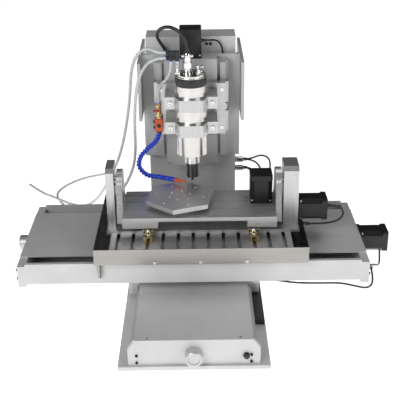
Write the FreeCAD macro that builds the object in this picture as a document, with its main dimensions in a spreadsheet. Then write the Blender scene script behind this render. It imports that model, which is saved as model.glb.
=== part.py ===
import FreeCAD, Part
import Sketcher
import math
import os
import re

os.makedirs("parts", exist_ok=True)
doc = FreeCAD.newDocument("router")
sheet = doc.addObject("Spreadsheet::Sheet", "Sizes")

# Layout axes: x along the beam, y from front to back, z up. The spindle axis is x 0, y 0 and the floor z 0.
driving = {
    # base
    "base_wide": 357, "base_deep": 751, "front_reach": 456, "base_plate": 10,
    "foot_tall": 8, "foot_dia": 24, "foot_inset": 30,
    "box_wide": 276, "box_wall": 10, "box_tall": 58, "slot_tall": 7, "sheet_thick": 3,
    "panel_wide": 308, "panel_thick": 12, "panel_back": 7, "panel_chamfer": 22, "panel_screw_in": 20.5, "switch_in": 32.2,
    "cover_screw_in": 30,
    # guides, screws and fits
    "rail_wide": 15, "rail_tall": 10, "block_wide": 34, "block_thick": 17, "block_long": 56, "block_gap": 3,
    "run_gap": 0.3, "shaft_fit": 0.05, "screw_dia": 12, "knob_dia": 40, "knob_long": 22, "knob_gap": 2,
    "motor_size": 57, "motor_long": 76, "motor_cut": 11, "nut_size": 30,
    # beam
    "beam_half": 438, "beam_deep": 349, "beam_mid": -66.5, "beam_low": 111, "beam_floor": 10,
    "beam_wall": 10, "beam_end": 20, "beam_wall_tall": 53, "floor_back": 32, "shelf_thick": 3, "clip_out": 9, "clip_fit": 0.6, "beam_cover_deep": 251, "leg_thick": 12,
    "beam_cover_z": 168, "x_bar_tall": 27, "x_bar_wide": 30,
    # table
    "table_x": 20, "carriage_half": 130, "carriage_thick": 6, "table_low": 180,
    "tray_wide": 526, "tray_deep": 330, "tray_front": -261, "tray_tall": 42, "tray_wall": 1.5,
    "table_wide": 456, "table_deep": 290, "table_thick": 28.5, "slot_pitch": 38, "slot_count": 12,
    "slot_open": 9, "slot_under": 15, "slot_lip": 6, "slot_floor": 7, "drain_dia": 9, "drain_long": 40,
    # trunnion and cradle
    "trunnion_plate": 8, "trunnion_deep": 122, "trunnion_front": -153, "left_thick": 20, "right_thick": 38,
    "left_inner": -218, "right_inner": 211, "support_deep": 69, "support_front": -128, "support_top": 377,
    "support_chamfer": 10, "pivot_y": -93.5, "pivot_z": 334, "pivot_dia": 24, "drive_wall": 12,
    "drive_plate": 8, "drive_rim": 5, "arm_thick": 15, "arm_left": -212, "arm_right": 206, "arm_top": 30,
    "arm_foot": 55, "a_motor_z": 255, "cradle_deep": 166, "deck_top": 265, "deck_thick": 10, "deck_low": 237,
    "end_left_long": 90, "end_right_long": 74, "end_back": 56, "groove_deep": 2, "groove_wide": 3,
    # c axis
    "hex_x": -32.5, "hex_y": -89, "hex_flats": 160, "hex_thick": 12, "hex_low": 276, "hex_turn": 20.5,
    "hub_dia": 90, "c_shaft_dia": 30, "c_motor_x": 177, "c_motor_y": -69.5,
    "pulley_big": 32, "pulley_small": 11, "a_pulley_big": 24, "pulley_thick": 12, "belt_thick": 1.6, "belt_wide": 10,
    # column
    "column_wide": 240, "column_front": 149, "column_deep": 78, "column_top": 638, "column_wall": 10,
    "cap_thick": 4, "z_panel_front": 125, "z_panel_thick": 8, "z_panel_low": 314, "z_panel_top": 600,
    "z_panel_wide": 260, "cheek_thick": 8, "cheek_front": 39, "cheek_low": 445, "cheek_top": 601,
    # z slide
    "z_rail_x": 84, "z_block_wide": 28, "z_bar_thick": 33, "z_screw_y": 108, "z_cover_front": 74, "z_cover_thick": 2,
    "z_cover_wide": 138, "z_cover_low": 304, "z_cover_top": 598, "z_travel": 45,
    "carriage_low": 403, "carriage_tall": 140, "carriage_front": 52, "z_carriage_thick": 20, "z_carriage_half": 90,
    "z_motor_low": 601,
    # spindle
    "spindle_dia": 80, "spindle_low": 372, "spindle_top": 581, "nose_dia": 40, "nose_low": 345,
    "collet_dia": 34, "collet_low": 305, "collet_top": 343, "tool_dia": 6, "tool_low": 292, "spindle_shaft": 16,
    "link_dia": 13.2, "link_pitch": 10.3, "link_gap": 0.85,
    "clamp_low": 430, "clamp_pitch": 67, "clamp_tall": 31.5, "clamp_wide": 135, "clamp_face": 60,
    "clamp_reach": 50, "clamp_lean": 13, "clamp_bolt_x": 54, "clamp_ear": 19, "clamp_split": 1,
    # cables and hoses
    "spindle_cable_dia": 9, "cable_dia": 5, "hose_dia": 8,
}
row = 0
for word, value in driving.items():
    row += 1
    sheet.set(f"A{row}", word)
    sheet.set(f"B{row}", str(value))
    sheet.setAlias(f"B{row}", word)

derived = {
    "floor_top": "foot_tall + base_plate",
    "wall_top": "foot_tall + base_plate + box_tall",
    "base_top": "foot_tall + base_plate + box_tall + slot_tall + sheet_thick",
    "base_back": "base_deep - front_reach",
    "panel_front": "panel_back - front_reach",
    "y_axis_z": "foot_tall + base_plate + motor_size / 2 + 0.5",
    "y_rail_z": "foot_tall + base_plate + 34",
    "leg_x": "box_wide / 2 + block_gap + block_thick",
    "beam_front": "beam_mid - beam_deep / 2",
    "beam_back": "beam_mid + beam_deep / 2",
    "beam_inside": "beam_low + beam_floor",
    "beam_axis_z": "beam_low + 35",
    "x_rail_off": "beam_cover_deep / 2 + 20",
    "x_rail_z": "beam_low + beam_floor + x_bar_tall",
    "carriage_z": "table_low - carriage_thick",
    "table_top": "table_low + tray_wall + table_thick",
    "trunnion_top": "table_low + tray_wall + table_thick + trunnion_plate",
    "cradle_front": "pivot_y - cradle_deep / 2",
    "z_block_front": "carriage_front + z_carriage_thick",
    "shift_x": "(knob_gap + knob_long - motor_long) / 2",
    "shift_y": "(front_reach - panel_back + knob_gap + knob_long - (base_deep - front_reach)) / 2",
}
names = set(driving) | set(derived)


def tie(text):
    return re.sub(r"[a-z][a-z_]*", lambda found: ("Sizes." if found.group(0) in names else "") + found.group(0),
                  str(text))


for word, formula in derived.items():
    row += 1
    sheet.set(f"A{row}", word)
    sheet.set(f"B{row}", "=" + formula)
    sheet.setAlias(f"B{row}", word)
doc.recompute()


def size(text):
    return float(sheet.evalExpression(tie(text)))


turns = {
    "z": FreeCAD.Rotation(),
    "-z": FreeCAD.Rotation(FreeCAD.Vector(1, 0, 0), 180),
    "x": FreeCAD.Rotation(FreeCAD.Vector(0, 1, 0), 90),
    "-x": FreeCAD.Rotation(FreeCAD.Vector(0, 1, 0), -90),
    "y": FreeCAD.Rotation(FreeCAD.Vector(1, 0, 0), -90),
    "-y": FreeCAD.Rotation(FreeCAD.Vector(1, 0, 0), 90),
}
pieces = {}
serial = 0


def fresh(name):
    global serial
    serial += 1
    return f"{name}_{serial}"


def place(thing, spot, rotation=None):
    if rotation is not None:
        thing.Placement = FreeCAD.Placement(FreeCAD.Vector(), rotation)
    shifts = ("shift_x", "shift_y", "0")
    for letter, text, shift in zip("xyz", spot, shifts):
        thing.setExpression(f"Placement.Base.{letter}", tie(f"({text}) + {shift}"))


def keep(thing, label):
    """Marks a finished piece, to be written in the sub-part of that label with any others of its kind."""
    pieces.setdefault(label, []).append(thing)
    return thing


def box(xs, ys, zs, name="block"):
    thing = doc.addObject("Part::Box", fresh(name))
    for side, (low, high) in zip(("Length", "Width", "Height"), (xs, ys, zs)):
        thing.setExpression(side, tie(f"({high}) - ({low})"))
    place(thing, (xs[0], ys[0], zs[0]))
    return thing


def rod(spot, radius, length, axis="z", name="rod"):
    thing = doc.addObject("Part::Cylinder", fresh(name))
    thing.setExpression("Radius", tie(radius))
    thing.setExpression("Height", tie(length))
    place(thing, spot, turns[axis])
    return thing


def hexagon(spot, radius, length, axis="z", turn=0):
    thing = doc.addObject("Part::Prism", fresh("hexagon"))
    thing.Polygon = 6
    thing.setExpression("Circumradius", tie(radius))
    thing.setExpression("Height", tie(length))
    place(thing, spot, turns[axis].multiply(FreeCAD.Rotation(FreeCAD.Vector(0, 0, 1), turn)))
    return thing


def fuse(*parts):
    thing = doc.addObject("Part::MultiFuse", fresh("joined"))
    thing.Shapes = list(parts)
    return thing


def cut(base, *tools):
    thing = doc.addObject("Part::Cut", fresh("cut"))
    thing.Base = base
    thing.Tool = tools[0] if len(tools) == 1 else fuse(*tools)
    return thing


def group(*parts):
    thing = doc.addObject("Part::Compound", fresh("set"))
    thing.Links = list(parts)
    return thing


def start_body(name, spot, rotation=None):
    body = doc.addObject("PartDesign::Body", fresh(name))
    place(body, spot, rotation)
    return body


def origin_part(body, role):
    return [part for part in body.Origin.OriginFeatures if part.Role == role][0]


def draw(body, role, outline=(), circles=(), lift=None):
    """A fully constrained sketch on one of the body's own planes: an outline of corners, and circles."""
    sketch = body.newObject("Sketcher::SketchObject", fresh("sketch"))
    sketch.AttachmentSupport = [(origin_part(body, role), "")]
    sketch.MapMode = "FlatFace"
    if lift is not None:
        sketch.setExpression("AttachmentOffset.Base.z", tie(lift))
    corners = [(size(a), size(b)) for a, b in outline]
    total = len(corners)
    for i, (a, b) in enumerate(corners):
        c, d = corners[(i + 1) % total]
        sketch.addGeometry(Part.LineSegment(FreeCAD.Vector(a, b, 0), FreeCAD.Vector(c, d, 0)), False)
    for i in range(total):
        sketch.addConstraint(Sketcher.Constraint("Coincident", i, 2, (i + 1) % total, 1))
    for i, (a, b) in enumerate(corners):
        for kind, value, text in (("DistanceX", a, outline[i][0]), ("DistanceY", b, outline[i][1])):
            index = sketch.addConstraint(Sketcher.Constraint(kind, -1, 1, i, 1, value))
            sketch.setExpression(f"Constraints[{index}]", tie(text))
    for across, up, radius in circles:
        a, b, r = size(across), size(up), size(radius)
        item = sketch.addGeometry(Part.Circle(FreeCAD.Vector(a, b, 0), FreeCAD.Vector(0, 0, 1), r), False)
        for kind, value, text in (("DistanceX", a, across), ("DistanceY", b, up)):
            index = sketch.addConstraint(Sketcher.Constraint(kind, -1, 1, item, 3, value))
            sketch.setExpression(f"Constraints[{index}]", tie(text))
        index = sketch.addConstraint(Sketcher.Constraint("Radius", item, r))
        sketch.setExpression(f"Constraints[{index}]", tie(radius))
    return sketch


def pad(body, sketch, length, back=False):
    feature = body.newObject("PartDesign::Pad", fresh("pad"))
    feature.Profile = sketch
    feature.Reversed = back
    feature.setExpression("Length", tie(length))
    sketch.Visibility = False
    return feature


def pocket(body, sketch, length, back=False):
    doc.recompute()
    before = body.Shape.Volume
    feature = body.newObject("PartDesign::Pocket", fresh("pocket"))
    feature.Profile = sketch
    feature.Reversed = back
    feature.setExpression("Length", tie(length))
    doc.recompute()
    if body.Shape.Volume >= before - 1e-3:
        raise RuntimeError(f"{feature.Name} removes nothing")
    return feature


def rectangle(a, b, c, d):
    return [(a, c), (b, c), (b, d), (a, d)]


def plate(label, role, outline, length, spot, circles=(), back=False):
    """A plate drawn on a plane of its own body and padded. XY pads up, XZ (with back) towards +y, YZ towards +x."""
    body = start_body(label, spot)
    pad(body, draw(body, role, outline, circles), length, back)
    return body


def turned(label, profile, spot, axis="z"):
    """A round piece turned about its own axis, drawn as (radius, height) corners."""
    body = start_body(label, spot, turns[axis])
    sketch = draw(body, "XZ_Plane", profile)
    feature = body.newObject("PartDesign::Revolution", fresh("turn"))
    feature.Profile = sketch
    feature.ReferenceAxis = (origin_part(body, "Z_Axis"), [""])
    feature.Angle = 360
    return body


def socket_screw(spot, radius, tall, axis):
    """A socket-head screw, seen as its head, with a six-sided socket."""
    head = rod(spot, radius, tall, axis)
    steps = {"x": (1, 0, 0), "y": (0, 1, 0), "z": (0, 0, 1)}[axis[-1]]
    sign = -1 if axis.startswith("-") else 1
    top = [f"({text}) + ({sign * step * 0.45}) * ({tall})" for text, step in zip(spot, steps)]
    return cut(head, hexagon(top, f"({radius}) * 0.55", tall, axis))


def screws(label, spots, radius, tall, axis):
    return keep(group(*[socket_screw(spot, radius, tall, axis) for spot in spots]), label)


def knob(label, spot, axis):
    """A turned hand knob with a dished face, bored for its screw."""
    r, long = "knob_dia / 2", "knob_long"
    rim = [("screw_dia / 2", "0"), (f"{r} - 2", "0"), (r, "2"), (r, f"{long} - 2"), (f"{r} - 2", long),
           (f"{r} - 6", long), (f"{r} - 7", f"{long} - 2"), ("screw_dia / 2", f"{long} - 2")]
    return turned(label, rim, spot, axis)


def stepper(spot, axis, long="motor_long"):
    """A square stepping motor with heavily cut corners: front flange, cut body and back cap, its face at spot."""
    half, trim = "motor_size / 2", "motor_cut"
    shape = [(f"-{half}", f"-{half} + {trim}"), (f"-{half} + {trim}", f"-{half}"),
             (f"{half} - {trim}", f"-{half}"), (half, f"-{half} + {trim}"), (half, f"{half} - {trim}"),
             (f"{half} - {trim}", half), (f"-{half} + {trim}", half), (f"-{half}", f"{half} - {trim}")]
    small = "4"
    flange = [(f"-{half}", f"-{half} + {small}"), (f"-{half} + {small}", f"-{half}"),
              (f"{half} - {small}", f"-{half}"), (half, f"-{half} + {small}"), (half, f"{half} - {small}"),
              (f"{half} - {small}", half), (f"-{half} + {small}", half), (f"-{half}", f"{half} - {small}")]
    body = start_body("stepper", spot, turns[axis])
    pad(body, draw(body, "XY_Plane", flange, [("0", "0", "6")]), "6")
    pad(body, draw(body, "XY_Plane", shape, (), "6"), f"{long} - 20")
    pad(body, draw(body, "XY_Plane", flange, (), f"{long} - 14"), "14")
    return body


def rail_block(along, middle, seat, facing, wide="block_wide"):
    """A bearing block: a box with a channel that straddles its rail. along is the travel axis, middle its centre on
    that axis and across, seat the face that the rail stands on, facing the side that it carries on."""
    half_long, half_wide, half_slot = "block_long / 2", f"{wide} / 2", "(rail_wide / 2 + run_gap)"
    near, far, roof = f"({seat}) + block_gap", f"({seat}) + block_gap + block_thick", f"({seat}) + rail_tall + run_gap"
    if facing < 0:
        near, far, roof = (f"({seat}) - block_gap - block_thick", f"({seat}) - block_gap",
                           f"({seat}) - rail_tall - run_gap")
    spans = {}
    slot = {}
    (travel, centre), (across, line) = along, middle
    axis_out = [letter for letter in "xyz" if letter not in (travel, across)][0]
    spans[travel] = (f"({centre}) - {half_long}", f"({centre}) + {half_long}")
    slot[travel] = (f"({centre}) - {half_long} - 1", f"({centre}) + {half_long} + 1")
    spans[across] = (f"({line}) - {half_wide}", f"({line}) + {half_wide}")
    slot[across] = (f"({line}) - {half_slot}", f"({line}) + {half_slot}")
    spans[axis_out] = (near, far)
    slot[axis_out] = (f"({near}) - 1", roof) if facing > 0 else (roof, f"({far}) + 1")
    return cut(box(*[spans[k] for k in "xyz"]), box(*[slot[k] for k in "xyz"]))


# ---------------------------------------------------------------- base
foot_spots = [(f"{sx} * (base_wide / 2 - foot_inset)", y, "0") for sx in (-1, 1)
              for y in ("-front_reach + foot_inset", "base_back - foot_inset")]
keep(group(*[rod(spot, "foot_dia / 2", "foot_tall") for spot in foot_spots]), "feet")
keep(plate("base_plate", "XY_Plane", rectangle("-base_wide / 2", "base_wide / 2", "-front_reach", "base_back"),
           "base_plate", ("0", "0", "foot_tall")), "base_plate")
half, crop = "panel_wide / 2", "panel_chamfer"
tall = "wall_top + slot_tall - floor_top"
panel_shape = [(f"-{half}", "0"), (half, "0"), (half, f"{tall} - {crop}"), (f"{half} - {crop} / 1.4", tall),
               (f"-{half} + {crop} / 1.4", tall), (f"-{half}", f"{tall} - {crop}")]
keep(plate("front_panel", "XZ_Plane", panel_shape, "panel_thick", ("0", "panel_front", "floor_top"),
           [("0", "y_axis_z - floor_top", "screw_dia / 2 + shaft_fit")], True), "front_panel")
wall_start = "panel_front + panel_thick"
for xs in (("-box_wide / 2", "-box_wide / 2 + box_wall"), ("box_wide / 2 - box_wall", "box_wide / 2")):
    keep(box(xs, (wall_start, "base_back"), ("floor_top", "wall_top")), "base_walls")
keep(box(("-box_wide / 2", "box_wide / 2"), ("panel_front", "column_front"),
         ("wall_top + slot_tall", "base_top"), "base_cover"), "base_cover")
screws("frame_screws", [(f"{sx} * (box_wide / 2 - cover_screw_in)", y, "base_top") for sx in (-1, 1)
                             for y in ("panel_front + 8", "column_front - 12")], "2.8", "2", "z")
screws("frame_screws", [(f"{sx} * (panel_wide / 2 - panel_screw_in)", "panel_front", z) for sx in (-1, 1)
                              for z in ("floor_top + 8", "floor_top + 27")], "3.2", "3", "-y")
rails = []
for side in (-1, 1):
    xs = ("box_wide / 2", "box_wide / 2 + rail_tall")
    if side < 0:
        xs = ("-box_wide / 2 - rail_tall", "-box_wide / 2")
    rails.append(box(xs, (wall_start, "column_front"), ("y_rail_z - rail_wide / 2", "y_rail_z + rail_wide / 2")))
keep(group(*rails), "frame_rails")
keep(cut(box(("-box_wide / 2 + box_wall", "box_wide / 2 - box_wall"), ("column_front + 8", "column_front + 20"),
             ("floor_top", "wall_top")), rod(("0", "column_front", "y_axis_z"), "screw_dia / 2 + shaft_fit", "40", "y")),
     "frame_blocks")
keep(stepper(("0", "column_front + 20", "y_axis_z + 0"), "y"), "frame_motors")
keep(rod(("0", "panel_front - knob_gap - knob_long + 2", "y_axis_z"), "screw_dia / 2",
         "column_front + 20 - panel_front + knob_gap + knob_long - 2.5", "y"), "y_screw")
keep(knob("y_knob", ("0", "panel_front - knob_gap", "y_axis_z"), "-y"), "y_screw")
switch = turned("power_switch", [("0", "0"), ("8", "0"), ("8", "3"), ("6", "4"), ("6", "9"), ("5", "10"), ("0", "10")],
                ("panel_wide / 2 - switch_in", "panel_front", "floor_top + 25"), "-y")
keep(switch, "chain_and_switch")
links = []
for i in range(14):
    y0 = f"-284 + {i} * 16.2"
    links.append(box(("152", "176"), (y0, f"{y0} + 16"), ("floor_top", "floor_top + 14")))
keep(group(*links), "chain_and_switch")

# ---------------------------------------------------------------- beam, sliding front to back
blocks = [rail_block(("y", f"beam_mid + {sy} * 62"), ("z", "y_rail_z"), f"{sx} * box_wide / 2", sx)
          for sx in (-1, 1) for sy in (-1, 1)]
keep(group(*blocks), "saddle")
legs = []
for sx in (-1, 1):
    xs = ("leg_x", "leg_x + leg_thick") if sx > 0 else ("-leg_x - leg_thick", "-leg_x")
    legs.append(box(xs, ("beam_mid - 92", "beam_mid + 92"), ("floor_top + 18", "beam_low")))
keep(group(*legs), "saddle")
bar = box(("-leg_x", "leg_x"), ("beam_mid - 15", "beam_mid + 15"), ("wall_top + 1", "wall_top + slot_tall - 1"))
nut = box(("-nut_size / 2", "nut_size / 2"), ("beam_mid - 15", "beam_mid + 15"),
          ("y_axis_z - nut_size / 2", "wall_top + 2"))
keep(cut(fuse(bar, nut), rod(("0", "beam_mid - 20", "y_axis_z"), "screw_dia / 2 + shaft_fit", "40", "y")), "saddle")
between_ends = ("-beam_half + beam_end", "beam_half - beam_end")
keep(box(between_ends, ("beam_front + floor_back", "beam_back"), ("beam_low", "beam_inside"), "beam_frame"), "beam_frame")
keep(box(between_ends, ("beam_front", "beam_front + floor_back"), ("beam_inside - shelf_thick", "beam_inside")),
     "beam_frame")
for ys in (("beam_front", "beam_front + beam_wall"), ("beam_back - beam_wall", "beam_back")):
    keep(box(between_ends, ys, ("beam_inside", "beam_inside + beam_wall_tall")), "beam_frame")
for start in ("-beam_half", "beam_half - beam_end"):
    end = rectangle("beam_front", "beam_back", "beam_low", "beam_cover_z")
    keep(plate("beam_end", "YZ_Plane", end, "beam_end", (start, "0", "0"),
               [("beam_mid", "beam_axis_z", "screw_dia / 2 + shaft_fit")]), "beam_frame")
cover_front, cover_back = "beam_mid - beam_cover_deep / 2", "beam_mid + beam_cover_deep / 2"
keep(box(("-beam_half", "beam_half"), (cover_front, cover_back), ("beam_cover_z", "beam_cover_z + sheet_thick"),
         "beam_cover"), "beam_cover")
for sx, axis in ((-1, "-x"), (1, "x")):
    screws("beam_screws", [(f"{sx} * beam_half", y, z) for y in ("beam_front + beam_wall / 2", "beam_back - beam_wall / 2")
                           for z in ("beam_inside + 12", "beam_inside + 36")], "3.5", "3", axis)
# cable clip on the right end of the beam
clip_y, clip_z = "beam_front + 27", "beam_axis_z - 7.5"
clip_hole = rod(("beam_half + clip_out", f"{clip_y} - 5", clip_z), "cable_dia / 2 + clip_fit", "10", "y")
keep(cut(fuse(rod(("beam_half + clip_out", f"{clip_y} - 3.5", clip_z), "cable_dia / 2 + clip_fit + 2", "7", "y"),
              box(("beam_half", "beam_half + 6"), (f"{clip_y} - 3.5", f"{clip_y} + 3.5"),
                  (f"{clip_z} - 2.5", f"{clip_z} + 2.5"))), clip_hole), "beam_frame")
bars, rails = [], []
for sy in (-1, 1):
    line = f"beam_mid + {sy} * x_rail_off"
    xs = between_ends
    bars.append(box(xs, (f"{line} - x_bar_wide / 2", f"{line} + x_bar_wide / 2"), ("beam_inside", "x_rail_z")))
    rails.append(box(xs, (f"{line} - rail_wide / 2", f"{line} + rail_wide / 2"), ("x_rail_z", "x_rail_z + rail_tall")))
keep(group(*bars), "x_rails")
keep(group(*rails), "x_rails")
keep(rod(("-beam_half - knob_gap - knob_long + 2", "beam_mid", "beam_axis_z"), "screw_dia / 2",
         "beam_half * 2 + knob_gap + knob_long - 2.5", "x"), "x_screw")
keep(knob("x_knob", ("-beam_half - knob_gap", "beam_mid", "beam_axis_z"), "-x"), "x_screw")
keep(stepper(("beam_half", "beam_mid", "beam_axis_z"), "x"), "x_motor")

# ---------------------------------------------------------------- table, sliding left to right
blocks = [rail_block(("x", f"table_x + {sx} * 95"), ("y", f"beam_mid + {sy} * x_rail_off"), "x_rail_z", 1)
          for sx in (-1, 1) for sy in (-1, 1)]
keep(group(*blocks), "table_carriage")

lugs = [box((f"table_x + {sx} * 95 - 20", f"table_x + {sx} * 95 + 20"),
            (f"beam_mid + {sy} * x_rail_off - 14", f"beam_mid + {sy} * x_rail_off + 14"),
            ("x_rail_z + block_gap + block_thick", "carriage_z + 1")) for sx in (-1, 1) for sy in (-1, 1)]
deck = box(("table_x - carriage_half", "table_x + carriage_half"),
           ("beam_mid - x_rail_off - 17", "beam_mid + x_rail_off + 17"), ("carriage_z", "table_low"))
keep(fuse(deck, *lugs), "table_carriage")
bar = box(("table_x - 15", "table_x + 15"), ("beam_mid - x_rail_off - 12", "beam_mid + x_rail_off + 12"),
          ("x_rail_z + rail_tall + 1", "beam_cover_z - 1"))
posts = [box(("table_x - 15", "table_x + 15"), (f"beam_mid + {sy} * x_rail_off - 12", f"beam_mid + {sy} * x_rail_off + 12"),
             ("beam_cover_z - 2", "carriage_z")) for sy in (-1, 1)]
nut = box(("table_x - 15", "table_x + 15"), ("beam_mid - nut_size / 2", "beam_mid + nut_size / 2"),
          ("beam_axis_z - nut_size / 2", "beam_cover_z - 2"))
keep(cut(fuse(bar, nut, *posts),
         rod(("table_x - 20", "beam_mid", "beam_axis_z"), "screw_dia / 2 + shaft_fit", "40", "x")), "table_carriage")
tray_x = ("table_x - tray_wide / 2", "table_x + tray_wide / 2")
tray_floor = box(tray_x, ("tray_front", "tray_front + tray_deep"), ("table_low", "table_low + tray_wall"))
tray_up = ("table_low + tray_wall", "table_low + tray_tall")
for ys in (("tray_front", "tray_front + tray_wall"), ("tray_front + tray_deep - tray_wall", "tray_front + tray_deep")):
    keep(box(tray_x, ys, tray_up), "drip_tray")
for xs in ((tray_x[0], f"{tray_x[0]} + tray_wall"), (f"{tray_x[1]} - tray_wall", tray_x[1])):
    keep(box(xs, ("tray_front + tray_wall", "tray_front + tray_deep - tray_wall"), tray_up), "drip_tray")
drain_x, drain_y = "table_x - tray_wide / 2 + 11", "tray_front + 11"
keep(cut(tray_floor, rod((drain_x, drain_y, "table_low - 1"), "drain_dia / 2 - 1", "4")), "drip_tray")
screws("table_screws", [(f"table_x - 1 + {i} * 113", "tray_front", "table_low + 6") for i in (-1, 0, 1)],
       "4", "2.5", "-y")
keep(cut(rod((drain_x, drain_y, "table_low"), "drain_dia / 2", "drain_long", "-z"),
         rod((drain_x, drain_y, "table_low + 1"), "drain_dia / 2 - 1", "drain_long + 2", "-z")), "drip_tray")
body = start_body("slot_table", ("table_x - table_wide / 2", "beam_mid - 33.5 - table_deep / 2",
                                 "table_low + tray_wall"))
pad(body, draw(body, "XY_Plane", rectangle("0", "table_wide", "0", "table_deep")), "table_thick")
near = "table_wide / 2 - (slot_count - 1) / 2 * slot_pitch"
slot = [(f"{near} - slot_open / 2", "table_thick"), (f"{near} - slot_open / 2", "table_thick - slot_lip"),
        (f"{near} - slot_under / 2", "table_thick - slot_lip"),
        (f"{near} - slot_under / 2", "table_thick - slot_lip - slot_floor"),
        (f"{near} + slot_under / 2", "table_thick - slot_lip - slot_floor"),
        (f"{near} + slot_under / 2", "table_thick - slot_lip"), (f"{near} + slot_open / 2", "table_thick - slot_lip"),
        (f"{near} + slot_open / 2", "table_thick")]
first_slot = pocket(body, draw(body, "XZ_Plane", slot), "table_deep")
repeat = body.newObject("PartDesign::LinearPattern", "slots")
repeat.Originals = [first_slot]
repeat.Direction = (origin_part(body, "X_Axis"), [""])
repeat.setExpression("Length", tie("(slot_count - 1) * slot_pitch"))
repeat.setExpression("Occurrences", tie("slot_count"))
body.Tip = repeat
keep(body, "slot_table")

# hold-down clamps on the front edge of the trunnion plate
clamp_y = "trunnion_front - 19"
straps, studs, wings = [], [], []
for sx in (-1, 1):
    cx = f"table_x + {sx} * 3.5 * slot_pitch"
    strap = box((f"{cx} - 12", f"{cx} + 12"), (f"{clamp_y} - 33", f"{clamp_y} + 32"), ("trunnion_top", "trunnion_top + 6"))
    heel = box((f"{cx} - 12", f"{cx} + 12"), (f"{clamp_y} - 33", f"{clamp_y} - 22"), ("table_top", "trunnion_top + 1"))
    opening = box((f"{cx} - 4.6", f"{cx} + 4.6"), (f"{clamp_y} - 14", f"{clamp_y} + 14"),
                  ("trunnion_top - 1", "trunnion_top + 7"))
    straps.append(cut(fuse(strap, heel), opening))
    studs.append(fuse(rod((cx, clamp_y, "table_top - slot_lip - 4"), "4", "trunnion_plate + slot_lip + 19"),
                      box((f"{cx} - 7", f"{cx} + 7"), (f"{clamp_y} - 9", f"{clamp_y} + 9"),
                          ("table_top - slot_lip - 5", "table_top - slot_lip"))))
    hub = rod((cx, clamp_y, "trunnion_top + 6"), "7", "5")
    wing = box((f"{cx} - 15", f"{cx} + 15"), (f"{clamp_y} - 1.5", f"{clamp_y} + 1.5"),
               ("trunnion_top + 8", "trunnion_top + 14"))
    wings.append(cut(fuse(hub, wing), rod((cx, clamp_y, "trunnion_top"), "4", "30")))
keep(group(*straps), "hold_down_clamps")
keep(group(*studs), "table_screws")
keep(group(*wings), "table_screws")

# ---------------------------------------------------------------- trunnion
left_outer, right_outer = "left_inner - left_thick", "right_inner + right_thick"
keep(plate("trunnion_plate", "XY_Plane",
           rectangle(f"{left_outer} - 2", f"{right_outer} + 2", "0", "trunnion_deep"), "trunnion_plate",
           ("table_x", "trunnion_front", "table_top")), "trunnion_plate")
back = "support_front + support_deep"
side = [("support_front", "trunnion_top"), (back, "trunnion_top"), (back, "support_top"),
        ("support_front + support_chamfer", "support_top"), ("support_front", "support_top - support_chamfer")]
pivot = ("pivot_y", "pivot_z", "pivot_dia / 2 + shaft_fit")
keep(plate("support_left", "YZ_Plane", side, "left_thick", (f"table_x + {left_outer}", "0", "0"), [pivot]),
     "trunnion_supports")
body = plate("support_right", "YZ_Plane", side, "right_thick - drive_plate", ("table_x + right_inner", "0", "0"), [pivot])
cavity = rectangle("support_front + drive_rim", f"{back} - drive_rim", "a_motor_z - 19", "support_top - 9")
pocket(body, draw(body, "YZ_Plane", cavity, (), "drive_wall"), "right_thick", True)
keep(body, "trunnion_supports")
keep(plate("drive_cover", "YZ_Plane", side, "drive_plate", ("table_x + right_inner + right_thick - drive_plate", "0", "0"),
           [("pivot_y", "a_motor_z", "6")]), "trunnion_supports")
keep(stepper((f"table_x + {right_outer}", "pivot_y", "a_motor_z"), "x"), "a_motor")
a_pulley_x = "table_x + right_inner + drive_wall + 3"


def pulley(spot, axis, radius, bore):
    return turned("pulley", [(bore, "0"), (f"{radius} + 2", "0"), (f"{radius} + 2", "1"), (radius, "1"),
                             (radius, "pulley_thick - 1"), (f"{radius} + 2", "pulley_thick - 1"),
                             (f"{radius} + 2", "pulley_thick"), (bore, "pulley_thick")], spot, axis)


def belt(label, big, small, big_radius, small_radius, low, axis):
    """A toothed belt as a loop around two pulleys, big and small given as the two coordinates across the axis."""
    (a, b), (c, d) = [(size(p), size(q)) for p, q in (big, small)]
    apart = math.hypot(c - a, d - b)
    gap = size("run_gap")
    faces = []
    for extra in (size("belt_thick") + gap, gap):
        r1, r2 = size(big_radius) + extra, size(small_radius) + extra
        lean = math.asin((r1 - r2) / apart)
        heading = math.atan2(d - b, c - a)
        points = []
        for cx, cy, r, turn in ((a, b, r1, 1), (c, d, r2, 1), (c, d, r2, -1), (a, b, r1, -1)):
            angle = heading + turn * (math.pi / 2 - lean)
            points.append(FreeCAD.Vector(cx + r * math.cos(angle), cy + r * math.sin(angle), 0))
        far = FreeCAD.Vector(c + r2 * math.cos(heading), d + r2 * math.sin(heading), 0)
        near_end = FreeCAD.Vector(a - r1 * math.cos(heading), b - r1 * math.sin(heading), 0)
        wire = Part.Wire([Part.LineSegment(points[0], points[1]).toShape(), Part.Arc(points[1], far, points[2]).toShape(),
                          Part.LineSegment(points[2], points[3]).toShape(),
                          Part.Arc(points[3], near_end, points[0]).toShape()])
        faces.append(Part.Face(wire))
    loop = faces[0].cut(faces[1]).extrude(FreeCAD.Vector(0, 0, size("belt_wide")))
    thing = doc.addObject("Part::Feature", fresh("belt"))
    if axis == "z":
        frame = FreeCAD.Placement(FreeCAD.Vector(size("shift_x"), size("shift_y"), size(low)), FreeCAD.Rotation())
    else:
        frame = FreeCAD.Placement(FreeCAD.Matrix(0, 0, 1, size(low) + size("shift_x"), 1, 0, 0, size("shift_y"), 0, 1, 0, 0))
    thing.Shape = loop
    thing.Placement = frame
    return keep(thing, label)


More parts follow.
